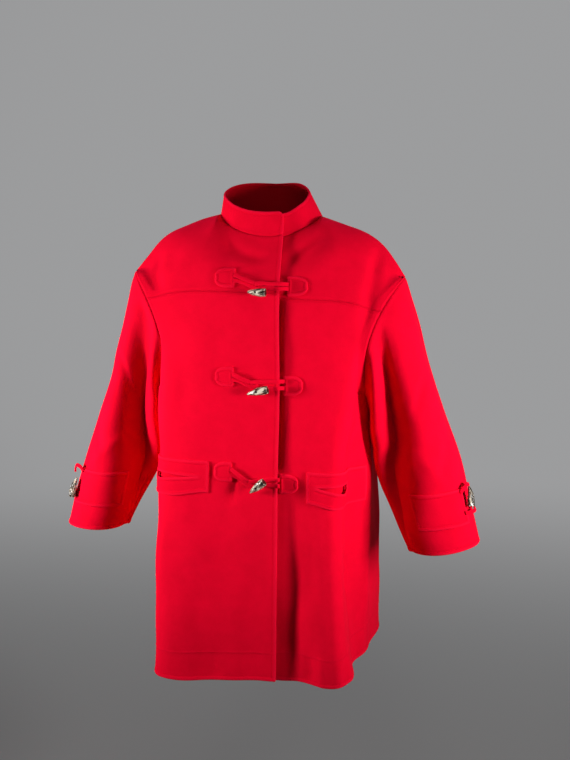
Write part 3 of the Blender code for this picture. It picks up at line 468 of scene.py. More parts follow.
def unevenness(points):
    # A sum of slow waves in random directions, longer ones deeper: cloth is never quite flat.
    phase = (points @ waveWay.T) * 2 * math.pi / waveLength + wavePhase
    return wave["reach"] * np.sum(np.sin(phase) * (waveLength / wave["plain"]), axis=-1)


def bodyPush(points, normal, held):
    # The creases of front, back and side, each where the cloth faces its way, and none where
    # the cloth is held.
    front = smooth((-normal[..., 1] - 0.05) / 0.5)
    rear = smooth((normal[..., 1] - 0.05) / 0.5)
    aside = smooth((np.abs(normal[..., 0]) - 0.5) / 0.4)
    push = creaseField(points[..., 0], points[..., 2], frontCreases) * front
    push = push + creaseField(points[..., 0], points[..., 2], backCreases) * rear
    push = push + creaseField(points[..., 1], points[..., 2], sideCreases) * aside
    return push * (1 - held)


def sleeveLine(rows, angle, share):
    # How far round the arm a point is from a line, and the line's width on that side and depth.
    table = np.array(rows, float)
    place, outer, inner, depth = (spline(table[:, 0], table[:, k], share) for k in (1, 2, 3, 4))
    away = ((angle - place + 180) % 360 - 180) * np.sign(table[0, 1])
    return away, np.where(away < 0, outer, inner), depth


def sleevePush(side, angle, share, normal):
    # How far and which way the sleeve is pushed: its lines are bells round the arm whose place,
    # width and depth change along it, and they move the cloth mostly to the front or the rear.
    field = creaseField(angle, share, sleeveCreases[side], sleeveFold["degree"], sleeveFold["length"])
    for rows in sleeveLines[side]:
        away, width, depth = sleeveLine(rows, angle, share)
        power = np.where(away < 0, sleeveFold["outerPower"], sleeveFold["innerPower"])
        field = field + depth * np.exp(-np.abs(away / width)**power)
    way = unit(normal * np.array(sleeveFold["way"]))
    return way * (field * smooth(share / sleeveFold["start"]))[..., None]


def sleeveValleyShade(side, angle, share):
    # How much painted shade a point gets in the sleeve's deepest valley, 0 to 1: a bell across the
    # valley, times the valley's depth there over the depth of full painted shade.
    deepest = min(sleeveLines[side], key=lambda rows: min(row[4] for row in rows))
    away, width, depth = sleeveLine(deepest, angle, share)
    return smooth(bell(away, width) * np.clip(-depth / sleeveFold["valleyShade"], 0, 1))


print("shape functions ready")

# ------------------------------------------------------------ grids of the panels
pitch = 0.0058
fineOffsets = np.array([0.0, 0.0011, 0.0024, 0.0038, 0.0050, 0.0060, 0.0070, 0.0082, 0.0105])
markOffsets = np.array([-0.0045, -0.0024, -0.001, 0.0004, 0.0018, 0.004])
markClear = 0.0062
runLengths = {
    "lap": 0.040, "shoulder": 0.235, "armholeUpper": 0.105, "armholeLower": 0.205, "side": 0.576,
    "sleeve": 0.56, "cuffHem": 0.030, "collar": 0.050,
}


def spread(length, first=True, last=True, marks=()):
    # Shares of a run, a pitch apart, closer together beside its ends and its marks.
    inner = np.linspace(fineOffsets[-1] if first else 0.0,
                        length - (fineOffsets[-1] if last else 0.0), int(length / pitch) + 2)
    parts = [inner]
    if first:
        parts.append(fineOffsets)
    if last:
        parts.append(length - fineOffsets)
    run = np.concatenate(parts)
    for mark in marks:
        run = np.concatenate([run[np.abs(run - mark) > markClear], mark + markOffsets])
    return np.unique(np.round(run / length, 6))


def armholeAngles(side):
    # Angles round the armhole, from the shoulder to the yoke's seam and from there down.
    centre, outZ = sleeveRows[0, 3], sleeveRows[0, 5]
    seam = math.degrees(math.acos((float(yokeHeight(side, 1.0)) - centre) / outZ))
    return (spread(runLengths["armholeUpper"]) * seam,
            seam + spread(runLengths["armholeLower"]) * (180 - seam))


def sideHeights(side):
    # Heights down a body panel's side edge: the armhole in its two parts, then the side seam.
    centre, outZ = sleeveRows[0, 3], sleeveRows[0, 5]
    upper, lower = armholeAngles(side)
    upper = centre + outZ * np.cos(np.radians(upper))
    lower = centre + outZ * np.cos(np.radians(lower))
    length = lower[-1] - float(hemHeight(side, 1.0))
    below = spread(runLengths["side"], first=False, marks=(runLengths["side"] - hem["turnUp"],))
    return upper, lower, lower[-1] - length * below


lapShares = -1 + spread(runLengths["lap"], last=False)[:-1]
neckShares = np.linspace(0.0, neck["share"], 18)[:-1]
shoulderShares = neck["share"] + (1 - neck["share"]) * spread(runLengths["shoulder"], first=False)
frontShares = np.concatenate([lapShares, neckShares, shoulderShares])
backShares = np.concatenate([neckShares, shoulderShares])
panels = {}


def gridNormals(grid, centre):
    # The direction square to a grid's two ways, turned so that it points away from a centre.
    down, along = np.gradient(grid, axis=0), np.gradient(grid, axis=1)
    normal = unit(np.cross(down, along))
    return normal if np.sum(normal * (grid - np.array(centre))) > 0 else -normal


def addPanel(name, points, centre, edges, push):
    # A panel is kept with its plain points, its kinds of edge and what its creases need.
    panels[name] = {"grid": points, "centre": centre, "edges": edges, "push": push}


def weld():
    # Panels that meet in a seam share one direction of thickness there.
    names = list(panels)
    for name in names:
        panels[name]["normal"] = gridNormals(panels[name]["grid"], panels[name]["centre"])
    points = np.concatenate([panels[n]["seamPoints"].reshape(-1, 3) for n in names])
    normals = np.concatenate([panels[n]["normal"].reshape(-1, 3) for n in names])
    found = np.unique(np.round(points / 4e-5).astype(np.int64), axis=0, return_inverse=True)[1].ravel()
    shared = np.zeros((found.max() + 1, 3))
    np.add.at(shared, found, normals)
    shared = unit(shared[found])
    start = 0
    for name in names:
        shape = panels[name]["grid"].shape
        end = start + shape[0] * shape[1]
        panels[name]["normal"] = shared[start:end].reshape(shape)
        start = end


bodyCentre = (0, 0, -0.45)
for side in (right, left):
    name = sideName[side]
    upper, lower, below = sideHeights(side)
    lowerAll = np.concatenate([lower, below[1:]])
    top = topEdge(side, False, frontShares)[2]
    seam = yokeHeight(side, frontShares)
    bottom = hemHeight(side, frontShares)
    if side == left:
        bottom = bottom - hem["underlap"] * (1 - smooth(frontShares))
    for part, first, last, shares in (
            ("yoke", top, seam, (upper[0] - upper) / (upper[0] - upper[-1])),
            ("front", seam, bottom, (lowerAll[0] - lowerAll) / (lowerAll[0] - lowerAll[-1]))):
        z = first[None, :] + (last - first)[None, :] * shares[:, None]
        share = np.broadcast_to(frontShares, z.shape)
        edges = {"top": "seam", "bottom": "seam" if part == "yoke" else "free", "low": "free",
                 "high": "seam"}
        held = heldAt(share, z)
        addPanel(part + "_" + name, lean(bodyPoint(side, False, share, z)), bodyCentre, edges,
                 ("body", held, None))

halves, heldHalves = [], []
for side in (right, left):
    heights = np.concatenate([sideHeights(side)[0], sideHeights(side)[1][1:], sideHeights(side)[2][1:]])
    top = topEdge(side, True, backShares)[2]
    shares = (heights[0] - heights) / (heights[0] - heights[-1])
    z = top[None, :] + (hemHeight(side, backShares) - top)[None, :] * shares[:, None]
    share = np.broadcast_to(backShares, z.shape)
    halves.append(bodyPoint(side, True, share, z))
    heldHalves.append(heldAt(share, z))
grid = np.concatenate([halves[0][:, :0:-1], halves[1]], axis=1)
held = np.concatenate([heldHalves[0][:, :0:-1], heldHalves[1]], axis=1)
addPanel("back", lean(grid), bodyCentre, {"top": "seam", "bottom": "free", "low": "seam", "high": "seam"},
         ("body", held, None))

cuffMark = runLengths["sleeve"] - runLengths["cuffHem"]
for side in (right, left):
    for part, way in (("front", 1), ("back", -1)):
        upper, lower = armholeAngles(side)
        angles, shares = np.meshgrid(np.concatenate([upper, lower[1:]]) * way,
                                     spread(runLengths["sleeve"], marks=(cuffMark,)))
        addPanel("sleeve_%s_%s" % (part, sideName[side]), lean(sleevePoint(side, angles, shares)),
                 (side * 0.3, -0.02, -0.42),
                 {"top": "seam", "bottom": "free", "low": "seam", "high": "seam"},
                 ("sleeve", angles, shares))

# The collar stands on the neckline: each point of its base rises and leans inwards, and its
# front corners are quarter circles.
base = []
for side in (right, left):
    front = frontShares[frontShares <= neck["share"] + 1e-9]
    rear = backShares[backShares < neck["share"] - 1e-9][::-1]
    run = [bodyPoint(side, False, front, topEdge(side, False, front)[2]),
           bodyPoint(side, True, rear, topEdge(side, True, rear)[2])]
    base.append(np.concatenate(run))
line = np.concatenate([base[0], base[1][-2::-1]])
around = smooth((line[:, 1] + neck["front"]) / (neck["front"] + neck["back"]))
height = collar["front"] + (collar["back"] - collar["front"]) * smooth(line[:, 1] / neck["back"])
tilt = collar["tilt"] + collar["tiltLeft"] * line[:, 0] / neck["width"]
tilt = tilt * smooth(np.abs(line[:, 0]) / neck["width"] * 0.7 + around * 0.5)
run = lengthAlong(line)
fromEnd = np.clip(np.minimum(run, run[-1] - run) / collar["corner"], 0.0, 1.0)
height = height - collar["leftLow"] * (1 - smooth((run[-1] - run) / collar["lowOver"]))
height = height - collar["corner"] * (1 - np.sqrt(1 - (1 - fromEnd)**2))
rows = spread(runLengths["collar"])[:, None]
inward = -unit(line * np.array([1.0, 1.0, 0.0]))
grid = line[None] + rows[..., None] * inward[None] * tilt[None, :, None]
grid = grid + (rows * height[None])[..., None] * np.array([0.0, 0.0, 1.0])
addPanel("collar", lean(grid)[::-1], (0, 0, 0.03),
         {"top": "free", "bottom": "seam", "low": "free", "high": "free"}, ("plain", None, None))
for panel in panels.values():
    panel["seamPoints"] = panel["grid"].copy()
weld()
for panel in panels.values():
    kind, first, second = panel["push"]
    points, normal = panel["grid"], panel["normal"]
    panel["grid"] = points + normal * unevenness(points)[..., None]
    if kind == "body":
        panel["grid"] += normal * bodyPush(points, normal, first)[..., None]
    elif kind == "sleeve":
        side = right if points[..., 0].mean() < 0 else left
        panel["grid"] += sleevePush(side, first, second, normal)
        # How much painted shade each point of a sleeve gets in its deepest valley.
        panel["valleyShade"] = sleeveValleyShade(side, first, second)
weld()
print("panels", {n: p["grid"].shape[:2] for n, p in panels.items()})

# ------------------------------------------------------------ cloth walls
# Half the cloth's thickness, what free edges, grooves and seams add to it or take from it, how
# worn each of them looks, how much painted shade darkens seam dips and grooves, and the painted
# shade of the right sleeve's valley. Grooves beside seams and marks: share, distance, width.
melton = {
    "half": 0.00135, "edge": 0.00072, "edgeWidth": 0.0045, "edgeFade": 0.0025, "edgeWear": 0.003,
    "groove": 0.00042, "grooveWidth": 0.0012, "seamDip": 0.0010, "seamWidth": 0.0018, "fell": 0.0006,
    "fellWidth": 0.0055, "fellFade": 0.0022, "seamGroove": (0.8, 0.0046, 0.0011), "markRise": 0.8,
    "markWidth": 0.0013, "markWear": 0.45, "markGroove": (0.5, 0.0035, 0.0018), "dipPaintedShade": 0.40,
    "groovePaintedShade": 0.25, "valleyShade": 0.85,
}
rimSteps = 6


def runs(grid):
    # Distance from the first row, down each column.
    steps = np.linalg.norm(np.diff(grid, axis=0), axis=-1)
    return np.concatenate([np.zeros((1, grid.shape[1])), np.cumsum(steps, axis=0)])


def edgeDistances(grid):
    # How far each point is from each of the grid's edges, along the cloth.
    across = runs(grid.swapaxes(0, 1)).T
    down = runs(grid)
    return {"top": down, "bottom": down[-1:] - down, "low": across, "high": across[:, -1:] - across}


def pullIn(grid, gaps, band=0.014):
    # Edges are drawn back along the cloth, less and less over a band beside them.
    distance = edgeDistances(grid)
    down, across = unit(np.gradient(grid, axis=0)), unit(np.gradient(grid, axis=1))
    moved = grid.copy()
    for edge, way, sign in (("top", down, 1), ("bottom", down, -1), ("low", across, 1),
                            ("high", across, -1)):
        amount = sign * gaps[edge] * np.clip(1 - distance[edge] / band, 0.0, 1.0)
        moved += way * amount[..., None]
    return moved


def makeMesh(name, vertices, faces, paint, attributes=None):
    # A smooth-shaded object with its paint and, for each attribute, one number per point.
    mesh = bpy.data.meshes.new(name)
    mesh.from_pydata(np.asarray(vertices).tolist(), [], faces)
    mesh.polygons.foreach_set("use_smooth", np.ones(len(mesh.polygons), bool))
    for key, values in (attributes or {}).items():
        layer = mesh.attributes.new(key, "FLOAT", "POINT")
        layer.data.foreach_set("value", np.asarray(values, dtype=np.float32))
    mesh.materials.append(paint)
    mesh.update()
    item = bpy.data.objects.new(name, mesh)
    bpy.context.scene.collection.objects.link(item)
    return item


def clothWall(name, grid, normal, high, low, wearAndShade, paint, keep=None):
    # An outer and an inner skin and, along every open edge, a half-round rim between them.
    if keep is None:
        keep = np.ones((grid.shape[0] - 1, grid.shape[1] - 1), bool)
    turned = np.cross(grid[:-1, 1:] - grid[:-1, :-1], grid[1:, :-1] - grid[:-1, :-1])
    if np.sum(turned * normal[:-1, :-1]) < 0:
        grid, normal, high, low, wearAndShade, keep = (a[:, ::-1] for a in (grid, normal, high, low, wearAndShade, keep))
    index = np.arange(grid.shape[0] * grid.shape[1]).reshape(grid.shape[:2])
    quads = np.stack([index[:-1, :-1], index[:-1, 1:], index[1:, 1:], index[1:, :-1]], -1)[keep]
    used, quads = np.unique(quads, return_inverse=True)
    quads = quads.reshape(-1, 4)
    point, out = grid.reshape(-1, 3)[used], normal.reshape(-1, 3)[used]
    high, low, wearAndShade = high.ravel()[used], low.ravel()[used], wearAndShade.ravel()[used]
    count = len(used)
    start, end = quads.ravel(), np.roll(quads, -1, axis=1).ravel()
    rim = ~np.isin(start * count + end, end * count + start)
    start, end = start[rim], end[rim]
    away = unit(np.cross(point[end] - point[start], out[start]))
    edge = np.zeros_like(point)
    np.add.at(edge, start, away)
    np.add.at(edge, end, away)
    border, both = np.unique(np.concatenate([start, end]), return_inverse=True)
    both = both.ravel()
    start, end = both[:len(start)], both[len(start):]
    edge = unit(edge[border])
    radius = ((high - low) / 2)[border]
    middle = point[border] + out[border] * ((high + low) / 2)[border][:, None]
    bend = (np.pi * np.arange(1, rimSteps) / rimSteps)[:, None, None]
    strip = middle + radius[:, None] * (np.cos(bend) * out[border] + np.sin(bend) * edge)
    ladder = np.concatenate([border[None], 2 * count + np.arange((rimSteps - 1) * len(border)).reshape(
        rimSteps - 1, -1), border[None] + count])
    rims = np.stack([ladder[:-1][:, end], ladder[:-1][:, start], ladder[1:][:, start],
                     ladder[1:][:, end]], -1).reshape(-1, 4)
    faces = np.concatenate([quads, quads[:, ::-1] + count, rims])
    vertices = np.concatenate([point + out * high[:, None], point + out * low[:, None], strip.reshape(-1, 3)])
    # The inner skin is painted the darker inside colour as painted shade, and the rims blend from the one to
    # the other.
    inside = np.concatenate([np.zeros(count), np.ones(count),
                             np.repeat(smooth(np.arange(1, rimSteps) / rimSteps * 2 - 1), len(border))])
    wearAndShadeAll = np.concatenate([wearAndShade, wearAndShade * 0, np.tile(wearAndShade[border], rimSteps - 1)])
    return makeMesh(name, vertices, faces.tolist(), paint, {"inside": inside, "wearAndShade": wearAndShadeAll})


def wallOffsets(grid, edges, marks=()):
    # Free edges are turned under and so thicker, with a groove along the stitches beside them.
    distance = edgeDistances(grid)
    extra, groove, dip, fell, wearAndShade = np.zeros((5, *grid.shape[:2]))
    for key, kind in edges.items():
        away = distance[key]
        if kind == "free":
            extra = np.maximum(extra, 1 - smooth((away - melton["edgeWidth"]) / melton["edgeFade"]))
            groove = groove + bell(away - stitchSet["fromEdge"], melton["grooveWidth"])
            wearAndShade = np.maximum(wearAndShade, bell(away, melton["edgeWear"]))
        elif kind == "seam":
            dip = np.maximum(dip, bell(away, melton["seamWidth"]))
            fell = np.maximum(fell, 1 - smooth((away - melton["fellWidth"]) / melton["fellFade"]))
            share, back, width = melton["seamGroove"]
            groove = groove + share * bell(away - back, width)
    for key, far in marks:
        line = bell(distance[key] - far, melton["markWidth"])
        groove, wearAndShade = groove - melton["markRise"] * line, np.maximum(wearAndShade, melton["markWear"] * line)
        share, back, width = melton["markGroove"]
        groove = groove + share * bell(distance[key] - far + back, width)
    high = melton["half"] + melton["edge"] * extra - melton["groove"] * groove
    high = high + melton["fell"] * fell * (1 - dip) - melton["seamDip"] * dip
    low = -melton["half"] - melton["edge"] * extra
    # In the wear, rubbed edges are above zero, and the painted shade of seam dips and grooves is below it.
    sunk = np.clip(melton["dipPaintedShade"] * dip + melton["groovePaintedShade"] * groove, 0.0, 1.0)
    return high, low, wearAndShade - sunk * (1 - np.minimum(wearAndShade * 2, 1))


# A stitch's four rings: place along it as a share of its length, then size and sinking as
# shares of its radius.
stitchSet = {
    "fromEdge": 0.0058, "fromSeam": 0.0042, "pitch": 0.0036, "length": 0.0026, "radius": 0.00034,
    "places": (-0.5, -0.32, 0.32, 0.5), "sizes": (0.35, 0.95, 0.95, 0.35), "sinks": (-0.6, 0.25, 0.25, -0.6),
}


def lineAt(grid, normal, edge, far, trim=(0.0, 0.0)):
    # The line of points on a grid at a distance from one of its edges.
    if edge in ("low", "high"):
        grid, normal = grid.swapaxes(0, 1), normal.swapaxes(0, 1)
    if edge in ("bottom", "high"):
        grid, normal = grid[::-1], normal[::-1]
    run = runs(grid)
    i = np.clip(np.sum(run < far, axis=0) - 1, 0, len(run) - 2)[None, :]
    first, last = np.take_along_axis(run, i, 0), np.take_along_axis(run, i + 1, 0)
    t = ((far - first) / (last - first))[..., None]
    pick = i[..., None]
    points = np.take_along_axis(grid, pick, 0) * (1 - t) + np.take_along_axis(grid, pick + 1, 0) * t
    normals = np.take_along_axis(normal, pick, 0) * (1 - t) + np.take_along_axis(normal, pick + 1, 0) * t
    points, normals = points[0], unit(normals[0])
    length = lengthAlong(points)
    inside = (length >= trim[0]) & (length <= length[-1] - trim[1])
    return points[inside], normals[inside]


def stitches(name, lines, paint):
    # Each stitch is a short bead, four-sided, thin at both ends and sunk into the cloth.
    middles, ways, outs = [], [], []
    for points, normals in lines:
        length = lengthAlong(points)
        at = np.arange(stitchSet["pitch"] / 2, length[-1], stitchSet["pitch"])
        for values, store in ((points, middles), (normals, outs)):
            store.append(np.stack([np.interp(at, length, values[:, k]) for k in range(3)], -1))
        ways.append(np.stack([np.interp(at, length, np.gradient(points[:, k], length))
                              for k in range(3)], -1))
    middle, way, out = (np.concatenate(a) for a in (middles, ways, outs))
    way, out = unit(way), unit(out)
    across = unit(np.cross(way, out))
    along = np.array(stitchSet["places"]) * stitchSet["length"]
    size = np.array(stitchSet["sizes"]) * stitchSet["radius"]
    sink = np.array(stitchSet["sinks"]) * stitchSet["radius"]
    turns = np.radians([45, 135, 225, 315])
    ring = (across[:, None, None] * np.cos(turns)[None, None, :, None]
            + out[:, None, None] * np.sin(turns)[None, None, :, None]) * size[None, :, None, None]
    points = middle[:, None, None] + way[:, None, None] * along[None, :, None, None]
    points = points + out[:, None, None] * sink[None, :, None, None] + ring
    k = np.arange(4)
    after = (k + 1) % 4
    walls = [np.stack([4 * r + k, 4 * r + after, 4 * r + 4 + after, 4 * r + 4 + k], -1) for r in range(3)]
    tube = np.concatenate(walls + [np.array([[3, 2, 1, 0], [12, 13, 14, 15]])])
    faces = (tube[None] + 16 * np.arange(len(middle))[:, None, None]).reshape(-1, 4)
    return makeMesh(name, points.reshape(-1, 3), faces.tolist(), paint)


# ------------------------------------------------------------ materials
def feed(tree, made, inputs):
    # Each input of a node takes a link from a socket, or a plain value.
    for key, value in inputs.items():
        if isinstance(value, bpy.types.NodeSocket):
            tree.links.new(value, made.inputs[key])
        else:
            made.inputs[key].default_value = value
    return made


def addNode(tree, kind, inputs, **settings):
    # A node of a kind, with its settings and what its inputs take.
    made = tree.nodes.new("ShaderNode" + kind)
    for key, value in settings.items():
        setattr(made, key, value)
    return feed(tree, made, inputs)


def newMaterial(name):
    # A material, its nodes and the shader among them.
    paint = bpy.data.materials.new(name)
    paint.use_nodes = True
    return paint, paint.node_tree, paint.node_tree.nodes["Principled BSDF"]


def noise(tree, source, scale, detail, rough, stretch=(1, 1, 1), turned=(0, 0, 0)):
    # Cloudy noise on a stretched and turned place.
    placed = addNode(tree, "Mapping", {"Vector": source, "Scale": stretch, "Rotation": turned})
    return addNode(tree, "TexNoise", {"Vector": placed.outputs["Vector"], "Scale": scale, "Detail": detail,
                                   "Roughness": rough}).outputs["Fac"]


def ramp(tree, source, stops):
    # A colour that runs through the stops as the source rises.
    made = addNode(tree, "ValToRGB", {"Fac": source})
    made.color_ramp.elements[0].position, made.color_ramp.elements[0].color = stops[0]
    made.color_ramp.elements[1].position, made.color_ramp.elements[1].color = stops[-1]
    for place, colour in stops[1:-1]:
        made.color_ramp.elements.new(place).color = colour
    return made.outputs["Color"]


def mix(tree, share, first, second):
    # The first colour times one minus the share, plus the second times the share.
    made = addNode(tree, "Mix", {}, data_type="RGBA")
    socket = {item.identifier: k for k, item in enumerate(made.inputs)}
    feed(tree, made, {socket["Factor_Float"]: share, socket["A_Color"]: first, socket["B_Color"]: second})
    return [item for item in made.outputs if item.identifier == "Result_Color"][0]


def sums(tree, operation, first, second):
    # One step of arithmetic on two values.
    return addNode(tree, "Math", {0: first, 1: second}, operation=operation).outputs[0]


def blend(tree, first, second, firstPart):
    # A weighted mean of two tones.
    return sums(tree, "ADD", sums(tree, "MULTIPLY", first, firstPart),
                sums(tree, "MULTIPLY", second, 1 - firstPart))


def attribute(tree, name):
    # The number that each point of a mesh carries under a name.
    return addNode(tree, "Attribute", {}, attribute_name=name).outputs["Fac"]


def bump(tree, height, strength, distance, normal=None):
    # A normal tilted by how the height changes, on top of another normal if one is given.
    inputs = {"Height": height, "Strength": strength, "Distance": distance}
    if normal is not None:
        inputs["Normal"] = normal
    return addNode(tree, "Bump", inputs).outputs["Normal"]


# Noises: scale, detail, roughness, stretch, turn. Nap and lump: strength and depth of the bump.
# The sunk colour is painted shade for seam dips, grooves and the sleeve's valley; the inside colour is
# painted shade for inner skins and pocket bags.
cloth = {
    "red": (0.80, 0.0, 0.021, 1), "deep": (0.71, 0.0, 0.016, 1), "worn": (0.86, 0.004, 0.036, 1),
    "inside": (0.50, 0.0, 0.008, 1), "sunk": (0.46, 0.0, 0.0115, 1), "tones": (0.30, 0.62),
    "mottle": (38.0, 5.0, 0.6), "grain": (260.0, 4.0, 0.65),
    "fibre": (900.0, 3.0, 0.7, (1.0, 1.0, 0.35), (0.3, 0.2, 0.4)),
    "mottlePart": 0.55, "fibreHeight": 0.6, "nap": (0.55, 0.0005), "lump": (0.20, 0.0016),
    "roughness": 0.82, "roughRange": 0.16, "specular": 0.04,
    "sheenColour": (1.0, 0.0, 0.10, 1), "sheenWeight": 0.20, "sheenRoughness": 0.45, "insideDark": 0.35,
}


def meltonMaterial(name, darker=0.0, thread=False):
    # Felted wool: mottled colour, a fine nap with a faint diagonal grain, and a soft sheen. The
    # attribute of wear and shade lightens the rubbed edges above zero, and below zero it is painted
    # shade in seam dips, grooves and the right sleeve's valley. The inside attribute paints the inner
    # skin darker, and darker paints the whole cloth darker, both as painted shade.
    paint, tree, shader = newMaterial(name)
    place = addNode(tree, "TexCoord", {}).outputs["Object"]
    mottle, fibre, grain = (noise(tree, place, *cloth[key]) for key in ("mottle", "fibre", "grain"))
    tone = blend(tree, mottle, fibre, cloth["mottlePart"])
    colour = ramp(tree, tone, ((cloth["tones"][0], cloth["deep"]), (cloth["tones"][1], cloth["red"])))
    if not thread:
        inside, wearAndShade = attribute(tree, "inside"), attribute(tree, "wearAndShade")
        worn = sums(tree, "MULTIPLY", sums(tree, "MAXIMUM", wearAndShade, 0.0), grain)
        sunk = sums(tree, "MAXIMUM", sums(tree, "MULTIPLY", wearAndShade, -1.0), 0.0)
        for share, key in ((worn, "worn"), (sunk, "sunk"), (inside, "inside")):
            colour = mix(tree, share, colour, cloth[key])
    if darker:
        colour = mix(tree, darker, colour, cloth["inside"])
    rough = sums(tree, "ADD", sums(tree, "MULTIPLY", grain, cloth["roughRange"]), cloth["roughness"])
    fuzz = sums(tree, "ADD", sums(tree, "MULTIPLY", fibre, cloth["fibreHeight"]), grain)
    normal = bump(tree, mottle, *cloth["lump"], bump(tree, fuzz, *cloth["nap"]))
    feed(tree, shader, {
        "Base Color": colour, "Roughness": rough, "Normal": normal,
        "Specular IOR Level": cloth["specular"], "Sheen Weight": cloth["sheenWeight"],
        "Sheen Roughness": cloth["sheenRoughness"], "Sheen Tint": cloth["sheenColour"],
    })
    return paint


hornPaint = {
    "stops": ((0.445, (0.020, 0.014, 0.010, 1)), (0.485, (0.11, 0.085, 0.060, 1)),
              (0.52, (0.30, 0.26, 0.20, 1)), (0.56, (0.74, 0.66, 0.52, 1))),
    "black": (0.006, 0.004, 0.003, 1), "cloud": (2.6, 3.0, 0.55, (1.6, 1.0, 1.0)),
    "streak": (7.0, 5.0, 0.65, (3.2, 0.55, 1.0)), "fine": (46.0, 3.0, 0.6, (2.0, 0.4, 1.0)),
    "cloudPart": 0.55, "roughness": 0.14, "roughRange": 0.22, "specular": 0.6, "relief": (0.30, 0.0003),
}


def hornMaterial():
    # Horn: broad clouds of cream and grey-brown with long dark streaks, under a polish.
    paint, tree, shader = newMaterial("horn")
    along = addNode(tree, "UVMap", {}).outputs["UV"]
    cloud, streak, fine = (noise(tree, along, *hornPaint[key]) for key in ("cloud", "streak", "fine"))
    colour = ramp(tree, blend(tree, cloud, streak, hornPaint["cloudPart"]), hornPaint["stops"])
    # The hole's painted shade and the horn's own dark butt turn the colour black.
    colour = mix(tree, attribute(tree, "holeShadeAndButt"), colour, hornPaint["black"])
    rough = sums(tree, "ADD", sums(tree, "MULTIPLY", fine, hornPaint["roughRange"]), hornPaint["roughness"])
    feed(tree, shader, {"Base Color": colour, "Roughness": rough, "Specular IOR Level": hornPaint["specular"],
                        "Normal": bump(tree, streak, *hornPaint["relief"])})
    return paint


# The inside paint is the cloth painted darker as painted shade, for the pocket bags.
paints = {"cloth": meltonMaterial("melton"), "inside": meltonMaterial("melton_inside", cloth["insideDark"]),
          "thread": meltonMaterial("thread", thread=True), "horn": hornMaterial()}
print("materials made")

# ------------------------------------------------------------ panels become cloth
# Stitches of each kind of panel: edge, distance from it, bare length at the line's two ends.
panelStitches = {
    "front": (("low", stitchSet["fromEdge"], 0.002, 0.004), ("bottom", hem["turnUp"], 0.006, 0.002),
              ("top", stitchSet["fromSeam"], 0.008, 0.002)),
    "yoke": (("low", stitchSet["fromEdge"], 0.004, 0.002),),
    "back": (("bottom", hem["turnUp"], 0.002, 0.002), ("top", stitchSet["fromSeam"], 0.002, 0.002)),
    "sleeve": (("bottom", stitchSet["fromEdge"], 0.002, 0.002), ("low", stitchSet["fromSeam"], 0.004, 0.006)),
    "collar": (("top", stitchSet["fromEdge"], 0.006, 0.006), ("low", stitchSet["fromEdge"], 0.002, 0.008),
               ("high", stitchSet["fromEdge"], 0.002, 0.008)),
}
allFree = dict.fromkeys(("top", "bottom", "low", "high"), "free")


def ridePlain(item):
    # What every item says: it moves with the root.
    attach(item, "root")


def declare(item, node):
    # What a cloth piece does besides: it moves with the root, and the solid it stands for is hidden.
    ridePlain(item)
    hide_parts(node)


pocket = {
    "top": -0.4925, "depth": 0.070, "innerDepth": 0.0585, "depthOver": 0.22, "length": 0.165, "outer": 0.90,
    "lift": 0.0002, "gape": 0.0022, "gapeAt": (0.66, 0.34), "gapeHeight": 0.016, "stitch": 0.0045,
    "slitStitch": 0.0062, "holeMargin": 0.004,
}
# Shares round the body where each frame and each slit begins, and where the slit ends.
pocketPlaces = {right: (0.275, 0.325, 0.66), left: (0.328, 0.385, 0.74)}
# Lips of the slit: share of its length, depth of the upper and lower lip below the frame's top.
lipRows = {
    right: np.array([(0.0, 0.0300, 0.0310), (0.25, 0.0290, 0.0345), (0.60, 0.0275, 0.0385),
                     (0.85, 0.0265, 0.0405), (1.0, 0.0270, 0.0405)]),
    left: np.array([(0.0, 0.0270, 0.0290), (0.20, 0.0262, 0.0345), (0.55, 0.0250, 0.0410),
                    (0.85, 0.0240, 0.0440), (1.0, 0.0245, 0.0400)]),
}


def pocketTop(side):
    # Height of the frame's top, lower on the left.
    return pocket["top"] - (hang["leftDrop"] if side == left else 0.0)


def lipHeights(side, share):
    # Heights of the upper and the lower lip, and the place along the slit, 0 to 1.
    first, last = pocketPlaces[side][1:]
    along = (share - first) / (last - first)
    rows, top = lipRows[side], pocketTop(side)
    upper, lower = (top - spline(rows[:, 0], rows[:, k], np.clip(along, 0, 1)) for k in (1, 2))
    return upper, lower, along


for name, panel in panels.items():
    kind, edges, normal = name.split("_")[0], panel["edges"], panel["normal"]
    radius = {"free": melton["half"] + melton["edge"], "seam": melton["half"] - melton["seamDip"] / 2}
    grid = pullIn(panel["grid"], {edge: radius[how] for edge, how in edges.items()})
    marks = [("bottom", hem["turnUp"])] if kind in ("front", "back") else []
    high, low, wearAndShade = wallOffsets(grid, edges, marks)
    keep = None
    # The right sleeve's deepest valley is darkened with painted shade, below zero in the wear.
    if kind == "sleeve" and name.endswith("right"):
        wearAndShade = wearAndShade - melton["valleyShade"] * panel["valleyShade"]
    if kind == "front":
        # The cells behind the pocket's slit are left out.
        side = right if name.endswith("right") else left
        z = panel["seamPoints"][..., 2] + hang["lean"] * panel["seamPoints"][..., 0]
        cellZ = (z[:-1, :-1] + z[1:, 1:]) / 2
        cellShare = np.broadcast_to((frontShares[:-1] + frontShares[1:]) / 2, cellZ.shape)
        upper, lower, along = lipHeights(side, cellShare)
        margin = pocket["holeMargin"]
        keep = ~((along > 0.02) & (along < 0.98) & (cellZ < upper + margin) & (cellZ > lower - margin))
    declare(clothWall("cloth_" + name, grid, normal, high, low, wearAndShade, paints["cloth"], keep), name)
    outer = grid + normal * high[..., None]
    lines = [lineAt(outer, normal, edge, far, trim) for edge, far, *trim in panelStitches[kind]]
    ridePlain(stitches("stitches_" + name, lines, paints["thread"]))
print("cloth panels made")


